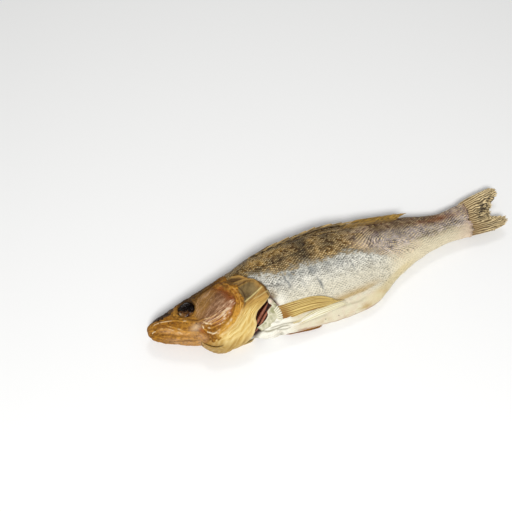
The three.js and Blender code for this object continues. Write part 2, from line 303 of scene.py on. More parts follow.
# material helpers
def tone(code):
    # a web colour into linear light
    parts = [int(code[i:i + 2], 16) / 255 for i in (0, 2, 4)]
    return [c / 12.92 if c <= 0.04045 else ((c + 0.055) / 1.055) ** 2.4 for c in parts] + [1.0]


def addNode(tree, kind, settings=None, **inputs):
    # a shader node with its settings, and its named inputs set or linked
    node = tree.nodes.new("ShaderNode" + kind)
    for key, value in (settings or {}).items():
        setattr(node, key, value)
    for key, value in inputs.items():
        setInput(tree, node.inputs[key.replace("_", " ")], value)
    return node


def setInput(tree, socket, value):
    # a socket takes a link, a web colour or a number
    if isinstance(value, bpy.types.NodeSocket):
        tree.links.new(value, socket)
    elif isinstance(value, str):
        socket.default_value = tone(value)
    else:
        socket.default_value = value


def mathNode(tree, operation, first, second=0.0, third=0.0):
    # one sum of two or three values
    node = addNode(tree, "Math", {"operation": operation})
    for socket, value in zip(node.inputs, (first, second, third)):
        setInput(tree, socket, value)
    return node.outputs[0]


def times(tree, first, second):
    # one value times another
    return mathNode(tree, "MULTIPLY", first, second)


def blend(tree, factor, first, second):
    # the first colour at factor 0, the second at factor 1
    node = addNode(tree, "Mix", {"data_type": "RGBA", "clamp_factor": True})
    for socket, value in ((0, factor), (6, first), (7, second)):  # 6, 7 and output 2 are the colour ones
        setInput(tree, node.inputs[socket], value)
    return node.outputs[2]


def remap(tree, value, low, high, newLow=0.0, newHigh=1.0):
    # low to high becomes newLow to newHigh, kept between the two
    node = addNode(tree, "MapRange", {"clamp": True})
    for socket, setting in zip(node.inputs, (value, low, high, newLow, newHigh)):
        setInput(tree, socket, setting)
    return node.outputs[0]


def readValue(tree, name):
    # one of the piece's own values, stored at its points
    return addNode(tree, "Attribute", {"attribute_name": name}).outputs["Fac"]


def newGroup(name, inputs, outputs):
    # a node group; an input without a default is a vector, every other socket a number
    group = bpy.data.node_groups.new(name, "ShaderNodeTree")
    for socketName, default in inputs.items():
        kind = "NodeSocketVector" if default is None else "NodeSocketFloat"
        socket = group.interface.new_socket(name=socketName, in_out="INPUT", socket_type=kind)
        if default is not None:
            socket.default_value = default
    for socketName in outputs:
        group.interface.new_socket(name=socketName, in_out="OUTPUT", socket_type="NodeSocketFloat")
    return group, group.nodes.new("NodeGroupInput").outputs, group.nodes.new("NodeGroupOutput").inputs


def useGroup(tree, group, **inputs):
    # a group placed in a material with its own values
    return addNode(tree, "Group", {"node_tree": group}, **inputs).outputs


def partOf(tree, name, amount):
    # one of the piece's own values times a fixed amount
    return times(tree, readValue(tree, name), amount)


def crestOf(tree, name, low, high, most=1.0):
    # one of the piece's own values, 0 below low and the most above high
    return remap(tree, readValue(tree, name), low, high, 0.0, most)


def layTints(tree, skin, tones, tints):
    # tints laid over the skin one after another: the value that places it, its strength, its colour
    for name, amount, colour in tints:
        skin = blend(tree, partOf(tree, name, amount), skin, tones[colour])
    return skin


def newSkin(name, patchScale, grainScale):
    # an empty material with its shader and its own uneven drying
    material = bpy.data.materials.new(name)
    material.use_nodes = True
    tree = material.node_tree
    shader = tree.nodes["Principled BSDF"]
    drying = useGroup(tree, unevenDrying, Patch_Scale=patchScale, Grain_Scale=grainScale)
    return material, tree, shader, drying


def finishSkin(tree, shader, colour, matt, rough, height=None, strength=0.4, distance=0.0003):
    # the colour, a roughness in the rough range by how matt it is, and a bump, its distance in metres
    tree.links.new(colour, shader.inputs["Base Color"])
    tree.links.new(remap(tree, matt, 0.0, 1.0, *rough), shader.inputs["Roughness"])
    if height is not None:
        bump = addNode(tree, "Bump", Strength=strength, Distance=distance, Height=height)
        tree.links.new(bump.outputs[0], shader.inputs["Normal"])


def makeDryingGroup():
    # uneven drying over the object's own coordinates, in metres: noise spread out to 0 to 1, in
    # cloudy patches and as grain
    group, given, put = newGroup("unevenDrying", {"Patch Scale": 90.0, "Grain Scale": 900.0},
                                 ["Cloud", "Grain"])
    place = addNode(group, "TexCoord").outputs["Object"]
    cloud = addNode(group, "TexNoise", Vector=place, Scale=given["Patch Scale"], Detail=4.0, Roughness=0.6)
    grain = addNode(group, "TexNoise", Vector=place, Scale=given["Grain Scale"], Detail=3.0, Roughness=0.7)
    group.links.new(remap(group, cloud.outputs["Fac"], 0.28, 0.72), put["Cloud"])
    group.links.new(remap(group, grain.outputs["Fac"], 0.25, 0.75), put["Grain"])
    return group


def makeScalesGroup():
    # scales: the whole parts of the map's two counts number a scale and give it its own value; the
    # fractions give the painted shade at its front and front corner, where the scale ahead overlaps it, and
    # the height that grows towards its rear
    group, given, put = newGroup("fishScales", {"Map": None}, ["Own Value", "Rim", "Corner", "Height"])
    number = addNode(group, "VectorMath", {"operation": "FLOOR"}, Vector=given["Map"]).outputs[0]
    inside = addNode(group, "VectorMath", {"operation": "FRACTION"}, Vector=given["Map"]).outputs[0]
    own = addNode(group, "TexWhiteNoise", {"noise_dimensions": "2D"}, Vector=number).outputs["Value"]
    parts = addNode(group, "SeparateXYZ", Vector=inside).outputs
    # slow noise lets one set of rows show more than the other, and lets both fade in places
    lean = addNode(group, "TexNoise", Vector=given["Map"], Scale=0.09, Detail=1.0).outputs["Fac"]
    fade = addNode(group, "TexNoise", Vector=given["Map"], Scale=0.22, Detail=2.0).outputs["Fac"]
    shown = remap(group, fade, 0.38, 0.6, 0.3, 1.0)
    first = times(group, remap(group, parts[0], 0.2, 0.54, 1.0, 0.0),
                  remap(group, lean, 0.4, 0.6, 0.3, 1.0))
    second = times(group, remap(group, parts[1], 0.2, 0.54, 1.0, 0.0),
                   remap(group, lean, 0.4, 0.6, 1.0, 0.3))
    rim = times(group, mathNode(group, "MAXIMUM", first, second), shown)
    corner = times(group, remap(group, parts[0], 0.3, 0.7, 1.0, 0.0),
                   remap(group, parts[1], 0.3, 0.7, 1.0, 0.0))
    height = times(group, mathNode(group, "ADD", parts[0], parts[1]), 0.5)
    corner = times(group, corner, shown)
    for name, value in (("Own Value", own), ("Rim", rim), ("Corner", corner), ("Height", height)):
        group.links.new(value, put[name])
    return group


def makeSpecksGroup():
    # small dark specks: the middles of scattered cells, only where a cell's own value is low
    group, given, put = newGroup("darkSpecks", {"Scale": 220.0, "Share": 0.2}, ["Speck"])
    place = addNode(group, "TexCoord").outputs["Object"]
    cells = addNode(group, "TexVoronoi", Vector=place, Scale=given["Scale"])
    own = addNode(group, "SeparateColor", Color=cells.outputs["Color"]).outputs[0]
    dot = remap(group, cells.outputs["Distance"], 0.12, 0.24, 1.0, 0.0)
    chosen = mathNode(group, "LESS_THAN", own, given["Share"])
    group.links.new(times(group, dot, chosen), put["Speck"])
    return group


unevenDrying = makeDryingGroup()
fishScales = makeScalesGroup()
darkSpecks = makeSpecksGroup()
print("material groups ready")

# trunk
trunk = {
    "rows": 470, "columns": 208, "leftShare": 0.7,  # more of the columns lie on the left flank
    "crowding": 0.35,  # and more of them on the flat of each flank than round its edges
    "lead": 7.0,  # how far it reaches under the head skin
    "scaleLength": 3.9, "scaleWidth": 2.5, "scaleRelief": 0.25,  # one scale along the body and round it
    "rowSway": 2.2, "rearSway": 3.0,  # how far the rows of scales wander
    "gloss": 0.25,
    "dents": 1.5, "smallDents": 0.7,  # of the dried flesh
    "slitDepth": 5.4, "slitWidth": 6.0, "gapDepth": 1.2,  # the gill chamber and the gap before the fin
    "lineDepth": 0.7, "streakDepth": 0.6, "backLineDepth": 0.8, "sideDepth": 0.5, "rearRise": 0.3,
    "breastFolds": 1.6, "bellyFolds": 0.9, "tailFolds": 0.6,
    "headStep": 0.9,  # how much lower the skin lies under the head skin
    "coverRoom": 1.2, "fringe": 5.0,  # room for the right gill cover; how uneven the rear edge is
    "headEnd": [(0, 80), (40, 84), (60, 87), (80, 93), (106, 94), (128, 83), (151, 65), (170, 57), (180, 55)],
    # the lower edge of the brown back, and of the grey-brown of the tail stalk behind it
    "brownEdge": [
        (80, 10), (104, 10.5), (113, 10.2), (124, 7), (131, 3.4), (137, 2.4), (143, 4.8), (153, 6.8),
        (164, 5), (182, 4), (199, 8), (207, 7), (216, 2.5), (228, -3), (241, -8.5), (262, -7), (290, -0.5),
        (310, -0.5), (340, -3),
    ],
    # dark bars: x, top, bottom, width, strength
    "bars": [
        (137, 25, 4, 4, 0.65), (162, 36, 8, 6, 1.0), (190, 33, 15, 6, 0.75), (214, 33, 16, 5.5, 0.3),
        (243, 36, 15, 6, 0.6), (263, 28, 6, 5, 0.5), (277, 24, 12, 5, 0.25), (299, 22, 8, 5, 0.4),
    ],
    # grey streaks in the silver below the bars: x, y, half length, strength
    "streaks": [
        (135.5, -4, 7, 1.0), (165.5, -15, 6, 1.0), (176, -6, 6, 0.4), (201, -9, 5, 0.6), (190, -2, 5, 0.5),
        (222, -5, 5, 0.4), (150, -12, 5, 0.3),
    ],
    # grey shade under the brown: x, y, half length, half height, strength
    "greySpots": [
        (140, -1.5, 5.5, 4, 0.75), (152, -1, 7, 3, 0.4), (163, -1.5, 5.5, 4, 0.65), (176, 0.5, 9, 3, 0.45),
        (190, -3.5, 7, 3, 0.35), (132, -4.5, 5, 3, 0.35), (108, -3.5, 4, 3, 0.3),
    ],
    # golden (+) and dark (-) stains on the back: x, y, half length, half height, strength
    "stains": [
        (137, 29, 9, 4.5, 0.9), (176, 33, 8, 4, 0.8), (152, 26, 7, 3.5, 0.5), (221, 33, 5.5, 4.5, 1.0),
        (197, 28, 6, 4, 0.5), (112, 24, 8, 5, 0.7), (205, 16, 9, 5, 0.4), (184, 14, 7, 5, 0.35),
        (230, 33.5, 3.5, 3, -0.6), (245, 32, 4, 3, -0.5), (124, 30, 7, 5, 0.8), (164, 29, 5, 7, -0.6),
        (170, 20, 6, 4, -0.5), (111, 13.5, 9, 5.5, -1.0), (128, 20, 6, 3.5, -0.5), (250, 22, 8, 5, -0.3),
        (188, 24, 4, 7, -0.4), (150, 11, 6, 4, -0.85), (280, 24, 12, 3, -0.15), (99, 19, 6, 8, -0.5),
        (250, 5, 7, 5, -0.5), (249, 11.5, 6, 4, -0.6), (268, 16, 12, 3, -0.35), (232, 14.5, 11, 3, -0.4),
        (256, 12.5, 24, 3.5, -0.4), (237, 5, 5, 4, -0.45), (180, 26, 4, 6, -0.3), (214, 28, 12, 2.5, -0.35),
        (264, 0, 7, 4, -0.35), (266, 8, 8, 5, -0.4), (281, 8, 8, 5, -0.36), (262, 6, 7, 4, -0.15),
        (148, 22, 4.5, 5, -0.65), (205, 28, 5, 5, -0.5), (88, 24, 8, 8, -0.35), (131, 31, 5, 4, 0.6),
    ],
    # tan spots on the belly: x, y, half length, half height, strength
    "tanSpots": [
        (204, -44.2, 9, 3.2, 1.0), (188, -45.4, 6, 2.2, 0.6), (226, -36, 8, 2.6, 0.4),
        (160, -44.6, 7, 1.8, 0.5), (95.4, -35.3, 2.2, 1.4, 0.9), (113, -42.2, 4, 1.2, 0.9),
        (146, -33.8, 12, 1.6, 0.35), (119, -14, 4, 7, 0.55),
    ],
    # folds of the breast skin, as on the head
    "paleFolds": [
        ([(93, -34.6), (96.9, -35.1), (102.8, -34.8), (109.8, -34.3), (120.7, -34.6),
          (131, -34.8)], 1.3, 1.3, 1.0),
        ([(98.2, -39.9), (105.4, -40.4), (112.1, -41.1), (117, -41.3)], 1.0, 0.9, 0.8),
        ([(122, -40), (133, -39.4), (146, -37.4), (158, -35.2)], 1.0, 1.0, 0.9),
        ([(108, -36), (118, -36.2), (128, -36)], 0.8, 0.7, 0.7),
    ],
    "greyFolds": [
        ([(106, -37), (111.6, -37.3), (119.6, -37.2), (128.4, -37.9), (138, -39)], 0.5, 1.0, 0.8),
        ([(93, -35.8), (95.5, -36.2), (102.5, -38.3), (112.2, -38.9), (119.2, -38.6),
          (127, -39.6)], 0.5, 1.1, 1.0),
        ([(98, -41), (106, -42.2), (114, -42.9), (119, -42.6)], 0.45, 0.8, 0.9),
        ([(101, -33.4), (106, -32.6), (112, -33), (118, -35.6)], 0.4, 0.6, 0.7),
        ([(112, -38.9), (115, -40.6), (121, -41.4), (126, -41)], 0.45, 0.7, 0.9),
        ([(134, -41.6), (150, -40.6), (166, -40.8)], 0.7, 0.5, 0.35),
        ([(160, -37), (178, -36.6), (196, -37.6), (210, -36)], 0.9, 0.5, 0.3),
    ],
    "finGap": [
        (111.5, -1), (113, -5.5), (114.8, -9.6), (115.8, -12.1), (117.6, -16.2), (118.9, -19.8),
        (121.4, -22.9),
    ],
    # the skin's rear edge: height, distance from the snout
    "rearEdge": [(-11, 335), (-9.4, 336), (-1.6, 340.2), (8.6, 342.3), (16.5, 343.5), (27, 347)],
    "muscleLines": [
        [(104, 15.5), (112, 15.6), (123, 17), (139, 17.7), (152, 19.5), (166, 21)],
        [(172, 35), (181, 34.3), (196, 32.6), (212, 31.5), (226, 30)],
    ],
    "shoulderFold": [(111, -2.5), (117, -4.2), (124, -5.8), (131, -6.2)],
    "creaseLine": [(168, -32.5), (180, -32), (192, -31), (206, -30), (218, -28), (233, -26), (246, -21)],
    "sideAngle": 82, "rowStep": 2.3, "sideLine": [(262, -1), (281, 0.8), (300, 4), (318, 7.5), (336, 10)],
    "slit": [(116, -15), (112, -20), (107, -26), (100, -31), (92, -34)],
    "tones": {
        # gap is the painted shade at the scale fronts and the fine grain's dark; glint is the painted
        # highlight on the scales, and white that on the silver ones as well as the pale folds' colour
        "back": "deb26a", "backDark": "4e2e10", "gold": "c8983a", "bar": "1e1107", "gap": "120a03",
        "glint": "f2d8a0", "silver": "ece9dc", "silverShade": "a9a69a", "silverSpeckAndShade": "322e24",
        "middle": "937e56", "middleRear": "ceb89c", "white": "f4f0e2", "fold": "7e7450",
        "bellyPink": "dcccb2", "blue": "6a6f70", "haze": "98958c", "warm": "ddd3b6", "stalk": "f4e4da",
        "stalkTop": "84562e", "cream": "e8d9b4", "belly": "dfdabc", "tan": "b3924f", "rust": "6a2c14",
        # the gill colour is near-black painted shade over the gills' own dark red
        "amber": "96552a", "gill": "2c0c06", "pale": "f7f4e6", "pink": "dabba6", "yellow": "d2ba72",
    },
}
headEndLine = smoothLine(trunk["headEnd"])
brownEdgeAt = smoothLine(trunk["brownEdge"])
rearEdgeAt = smoothLine(trunk["rearEdge"])
sideLineAt = smoothLine(trunk["sideLine"])
chamberEdgeAt = smoothLine([(-y, x) for x, y in trunk["slit"]])


def headEndAt(degrees):
    # the rear edge of the head skin, made uneven over the nape by a cloud
    uneven = clouds(degrees / 8, 0 * degrees, 51, 2) + clouds(degrees / 2.6, 0 * degrees, 57, 1) * 0.4 - 0.7
    return headEndLine(degrees) + 6 * uneven * (1 - ramp(degrees, 48, 66))


def foldedDegrees(turn):
    # degrees from the back edge, the same on both flanks
    return np.degrees(np.arccos(np.clip(np.cos(turn), -1, 1)))


def trunkTurns():
    # turns from the back edge over the left flank to the belly edge and back over the right flank,
    # each flank's steps shortened at its middle by a sine
    left = int(trunk["columns"] * trunk["leftShare"])
    halves = []
    for count in (left, trunk["columns"] - left):
        share = np.linspace(0, 1, count, endpoint=False)
        halves.append(np.pi * (share + trunk["crowding"] * np.sin(2 * np.pi * share) / (2 * np.pi)))
    return np.concatenate([halves[0], np.pi + halves[1]]), left


def tailEndAt(degrees):
    # the slanted rear edge of the skin: further back towards the back edge
    reach = np.cos(np.radians(degrees))
    return rearEdgeAt(reach * np.where(reach > 0, 27, 11))


def tailFringe(degrees):
    # how far clouds move that edge to and fro, not at all at the back and belly lines
    uneven = clouds(degrees / 11, 0 * degrees, 59, 2) + 0.5 * clouds(degrees / 3.4, 0 * degrees, 53, 1) - 0.75
    return trunk["fringe"] * uneven * ramp(degrees, 14, 40) * (1 - ramp(degrees, 140, 166))


def arcFromSideLine(rings, turns):
    # distance round the skin from the side line of each flank: the summed steps from point to point
    closed = np.concatenate([rings, rings[:, :1]], 1)
    steps = np.cumsum(np.linalg.norm(np.diff(closed, axis=1), axis=-1), 1)
    arc = np.concatenate([np.zeros((len(rings), 1)), steps], 1)
    leftColumn = np.searchsorted(turns, np.radians(trunk["sideAngle"]))
    rightColumn = np.searchsorted(turns, np.radians(360 - trunk["sideAngle"]))
    return arc - arc[:, leftColumn:leftColumn + 1], arc[:, rightColumn:rightColumn + 1] - arc


def scaleMap(x, arc):
    # the diamond lattice of the scales, its rows swayed by slow clouds: two counts whose whole parts
    # number a scale and whose fractions place a point inside it
    sway = trunk["rowSway"] * (1 - ramp(x, 270, 300))
    sway = sway + trunk["rearSway"] * ramp(x, 195, 235) * (1 - ramp(x, 262, 295)) * ramp(arc, -14, 4)
    along = (x + sway * (clouds(x / 17, arc / 12, 13, 2) - 0.5) * 2) / trunk["scaleLength"]
    across = (arc + sway * (clouds(x / 15 + 9, arc / 11, 17, 2) - 0.5) * 2) / trunk["scaleWidth"]
    return along + across, along - across


def scaleTiles(p, q):
    # each scale rises towards the tail and drops at its two rear edges
    return (p - np.floor(p)) + (q - np.floor(q)) - 1


def spotsAt(x, y, spots, swayX=0.0, swayY=0.0):
    # a soft oval for each spot of a list, its middle moved by the sways, with the spot's strength
    for spotX, spotY, halfLength, halfHeight, strength in spots:
        away = np.hypot((x + swayX - spotX) / halfLength, (y + swayY - spotY) / halfHeight)
        yield strength, bell(away, 1.0)


def markingMasks(x, y, degrees, slow, quick):
    # the dark bars and grey streaks of the flank, the stains of the back with painted shade along its top
    # edge, and the tan of the belly apart
    bars, streaks, tan, lines = (np.zeros(np.shape(x)) for _ in range(4))
    for barX, top, bottom, width, strength in trunk["bars"]:
        reach = ramp(y, bottom - 4, bottom + 5) * (1 - ramp(y, top - 3, top + 5))
        shape = bell(x - barX - 0.1 * (y - top) - 5 * slow - 2 * quick, width * (0.8 + 1.2 * (0.5 + quick)))
        bars = np.maximum(bars, strength * reach * shape)
    for streakX, streakY, half, strength in trunk["streaks"]:
        shape = bell(x - streakX + 0.2 * (y - streakY) - 2.5 * quick, 1.1) * bell(y - streakY, half)
        streaks = np.maximum(streaks, strength * shape)
    for strength, shape in spotsAt(x, y, trunk["greySpots"], 6 * quick, 5 * slow):
        streaks = np.maximum(streaks, strength * shape * (0.5 + 1.1 * (0.5 + quick)))
    for line in trunk["muscleLines"]:
        away, share, _ = nearLine(x, y + 2 * quick, line)
        lines = np.maximum(lines, bell(away, 1.1) * ramp(share, 0.0, 0.2) * (1 - ramp(share, 0.8, 1.0)))
    foldAway, foldShare, _ = nearLine(x, y, trunk["shoulderFold"])
    lines = np.maximum(lines, 0.85 * bell(foldAway, 1.3) * (1 - ramp(foldShare, 0.8, 1.0)))
    nape = bell(x - 100, 15) * ramp(y, 5, 18)
    stain = ramp(clouds(x / 11, unrolled(x, degrees) / 7, 19), 0.5, 0.7)
    gold = 0.7 * stain * ramp(y, 12, 22) * (1 - ramp(x, 235, 260)) + 0.5 * nape
    # painted shade along the top of the back, where it curves away from the light
    backEdgeShade = ramp(y - backHeight(x) + 9 + 8 * slow, -2, 6) * (1 - ramp(x, 298, 316))
    dark = 0.6 * nape * ramp(quick, -0.1, 0.2) + 0.5 * backEdgeShade
    for strength, shape in spotsAt(x, y, trunk["stains"], 5 * quick, 6 * slow):
        gold = np.maximum(gold, strength * shape)
        dark = np.maximum(dark, -strength * shape)
    for strength, shape in spotsAt(x, y, trunk["tanSpots"], 9 * quick, 2 * slow):
        tan = np.maximum(tan, strength * shape * ramp(quick, -0.25, 0.1) * (1 - ramp(degrees, 165, 179)))
    return {"bars": bars, "streaks": clamp(streaks), "lines": lines, "gold": clamp(gold),
            "dark": clamp(dark)}, tan


def sideLineMask(x, y, slow, quick):
    # the side line and a fainter one above it; behind them the scale rows of the stalk show as
    # dotted lines, a cosine across each row times a cosine along it
    away, share, _ = nearLine(x, y, trunk["sideLine"])
    side = bell(away, 1.2) * ramp(share, 0, 0.35) * (1 - ramp(share, 0.9, 1.0))
    side = side + 0.6 * bell(away - 3.2, 0.9) * ramp(share, 0.2, 0.5) * (1 - ramp(share, 0.85, 1.0)) * (y > 0)
    fromSide = y - sideLineAt(x) + 1.2 * slow
    row = np.round(fromSide / trunk["rowStep"])
    dots = np.cos(np.pi * (fromSide / trunk["rowStep"] - row))
    dots = dots * (0.6 + 0.4 * np.cos(2 * np.pi * x / 2.6 + np.pi * row))
    dots = dots * ramp(x, 270, 292) * (1 - ramp(x, 326, 338))
    dots = dots * bell(fromSide - 2, 9) * (0.5 + 1.4 * (0.5 + quick))
    return clamp(np.maximum(side, 0.9 * clamp(dots)))


def trunkMasks(x, y, degrees):
    # where each finish lies, all from distances in the side view
    rolled = unrolled(x, degrees)
    slow = clouds(x / 15, rolled / 9, 11) - 0.5
    quick = clouds(x / 5, rolled / 3.6, 15) - 0.5
    masks, tan = markingMasks(x, y, degrees, slow, quick)
    edge = brownEdgeAt(x) + 9 * slow + 8 * quick
    back = ramp(y - edge, -6.5, 7.5)
    rear = ramp(x, 196, 246)
    _, pale = foldLines(x + 2 * quick, y + 2 * slow, trunk["paleFolds"])
    _, grey = foldLines(x + 2 * quick, y + 2 * slow, trunk["greyFolds"])
    gapAway, gapShare, _ = nearLine(x, y, trunk["finGap"])
    fromBack = backHeight(x) - y
    backLine = bell(fromBack - 4.6 - 0.8 * quick, 0.8) * ramp(x, 112, 128) * (1 - ramp(x, 262, 282))
    second = 0.8 * bell(fromBack - 7.6 - 1.5 * slow, 0.9) * ramp(x, 126, 150) * (1 - ramp(x, 205, 225))
    belly = ramp(-y + 5 * quick, 29, 36) * ramp(x, 112, 140) * (1 - ramp(x, 238, 262))
    creaseAway, creaseShare, creaseSide = nearLine(x, y, trunk["creaseLine"])
    crease = bell(creaseAway, np.where(creaseSide > 0, 3.4, 1.1))
    crease = crease * ramp(creaseShare, -0.02, 0.12) * (1 - ramp(creaseShare, 0.4, 0.9))
    cream = ramp(x, 228, 258) * ramp(edge - y, -9, 4)
    yellow = ramp(x, 190, 225) * (1 - ramp(x, 248, 275))
    yellow = yellow * ramp(178 - degrees, 0, 10) * ramp(degrees, 138, 150)
    rootLine = tailEndAt(degrees) + tailFringe(degrees) - x
    reddish = bell(np.hypot((x - 312) / 17, (y - 16.5) / 3.6), 1.0)
    bareEnd = bell(rootLine, 17) * ramp(-y + 0.3 * (x - 320) + 9 * quick, -5, 6) * (0.6 + 0.9 * (0.5 + slow))
    slitAway, slitShare, _ = nearLine(x, y, trunk["slit"])
    # painted shade, over the gills' own dark red, along the slit and in the chamber under the cover
    gill = (1 - ramp(slitAway, 4.5, 7.5)) * ramp(slitShare, -0.05, 0.08)
    underCoverShade = ramp(chamberEdgeAt(-y) - x, -1, 3) * ramp(-y, 8, 14) * (1 - ramp(-y, 31, 34))  # under the cover
    gill = np.maximum(gill, underCoverShade)
    breast = ramp(-y + 0.15 * (x - 110), 14, 20) * (1 - ramp(x, 118, 136)) * (1 - 0.9 * gill)
    rustBelly = bell(degrees - 178, 5 + 6 * quick) * ramp(x, 116, 126) * (1 - ramp(x, 205, 232))
    rustBelly = rustBelly * ramp(clouds(x / 9, rolled / 5, 23), 0.4, 0.62)
    rustKeel = 0.7 * bell(degrees - 180, 3) * ramp(x, 150, 160) * (1 - ramp(x, 192, 216))
    upper = clamp(1 - back) * (1 - ramp(-y, 4, 20))
    haze = ramp(clouds(x / 8 + 0.3 * y / 8, rolled / 9, 27, 2), 0.46, 0.72) * ramp(edge - y, 6, 14)
    dotted = 0.5 + 0.5 * back + 0.4 * upper - 0.4 * belly - 0.25 * breast - 0.25 * bareEnd - 0.15 * cream
    stalkTop = ramp(y - 0.42 * backHeight(x) + 4 * slow, -3, 7) * rear * (1 - 0.5 * ramp(x, 308, 322))
    masks.update({
        "back": back, "rear": rear, "paleFold": pale, "greyFold": grey, "haze": haze * (1 - ramp(-y, 12, 26)),
        "finGap": bell(gapAway, 1.0) * ramp(gapShare, -0.02, 0.3) * (1 - ramp(gapShare, 0.95, 1.02)),
        "backLine": clamp(backLine + second), "belly": belly, "crease": np.maximum(crease, tan),
        "cream": cream, "yellow": yellow, "rearEdge": bell(rootLine - 1.2, 1.6),
        "side": sideLineMask(x, y, slow, quick), "reddish": reddish, "bareEnd": clamp(bareEnd),
        "gill": gill, "breast": breast, "rustBelly": np.maximum(rustBelly, rustKeel),
        "warm": ramp(-y + 6 * slow, 4, 22), "stalkTop": stalkTop, "dotted": clamp(dotted),
    })
    return masks


def trunkRelief(x, y, degrees, p, q, masks):
    # scale tiles, fading on the breast and belly; soft dents of the dried flesh; the sunk gill
    # chamber; sunk muscle lines and streaks; folds on the breast; and the step under the head skin
    tiled = trunk["scaleRelief"] * clamp(0.25 + masks["dotted"]) * (1 - masks["gill"])
    relief = tiled * scaleTiles(p, q)
    relief = relief + trunk["dents"] * (clouds(x / 24, y / 12, 31, 2) - 0.5) * ramp(x, 100, 130)
    relief = relief + trunk["smallDents"] * (clouds(x / 7, y / 5, 33, 2) - 0.5) * (1 - masks["gill"])
    slitAway, slitShare, _ = nearLine(x, y, trunk["slit"])
    relief = relief - trunk["slitDepth"] * bell(slitAway, trunk["slitWidth"]) * ramp(slitShare, -0.1, 0.12)
    relief = relief + foldLines(x, y, trunk["paleFolds"])[0] - foldLines(x, y, trunk["greyFolds"])[0]
    relief = relief - trunk["gapDepth"] * masks["finGap"]
    for name, depth in (("lines", "lineDepth"), ("streaks", "streakDepth"), ("backLine", "backLineDepth")):
        relief = relief - trunk[depth] * masks[name]
    folds = wrinkles(x / 9 + 0.4, (y - 0.1 * x) / 3.4, 41, 1.0)
    relief = relief + trunk["breastFolds"] * masks["breast"] * (folds - 0.35)
    bellyFolds = wrinkles(x / 26, (y - 0.12 * x) / 5.0, 43)
    relief = relief + trunk["bellyFolds"] * masks["belly"] * (bellyFolds - 0.35)
    tailFolds = wrinkles(x / 7, y / 3.4, 47)
    relief = relief + trunk["tailFolds"] * ramp(x, 285, 325) * (tailFolds - 0.35)
    relief = relief - trunk["sideDepth"] * masks["side"] + trunk["rearRise"] * masks["rearEdge"]
    under = 1 - ramp(x - headEndAt(degrees), -1.5, 1.5)
    return relief * (1 - under) - trunk["headStep"] * under


def outwardSign(rings):
    # 1 when the grid's normals already leave the body, which the sum of their outward parts tells
    middle = rings.mean(1, keepdims=True)
    return np.sign(np.sum((rings - middle) * normalsOf(rings, True)))


def makeTrunk(material):
    # rings from under the head skin to the tail, each point moved out along its normal by the
    # relief; each flank's map counts the scales from that flank's side line
    turns, left = trunkTurns()
    degrees = foldedDegrees(turns)[None, :]
    share = np.linspace(0, 1, trunk["rows"])[:, None]
    start = headEndAt(degrees) - trunk["lead"]
    x = start + share * (tailEndAt(degrees) - start) + tailFringe(degrees) * ramp(share, 0.9, 1)
    turn = np.broadcast_to(turns[None, :], x.shape)
    degrees = np.broadcast_to(degrees, x.shape)
    plain = skinPoint(x, turn)
    y = plain[..., 1]
    xLoop = np.concatenate([x, x[:, :1]], 1)
    maps = [np.stack(scaleMap(xLoop, arc), -1) for arc in arcFromSideLine(plain, turns)]
    onLeft = np.arange(trunk["columns"]) < left
    p, q = np.moveaxis(np.where(onLeft[None, :, None], maps[0][:, :-1], maps[1][:, :-1]), -1, 0)
    masks = trunkMasks(x, y, degrees)
    relief = trunkRelief(x, y, degrees, p, q, masks)
    rings = plain + normalsOf(plain, True) * relief[..., None] * outwardSign(plain)
    # room for the gill cover and the head skin between it and the table
    room = trunk["coverRoom"] * (1 - ramp(x, 108, 122))
    room = room + trunk["headStep"] * (1 - ramp(x - headEndAt(degrees), -1.5, 1.5))
    rings[..., 2] = np.maximum(rings[..., 2], room)
    cells = [np.stack([m[:-1, :-1], m[1:, :-1], m[1:, 1:], m[:-1, 1:]], 2) for m in maps]
    uv = np.where(onLeft[None, :, None, None], cells[0], cells[1]).reshape(-1, 4, 2)
    piece = makeTube("trunkSkin", rings, material, masks, uv)
    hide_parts("zander")


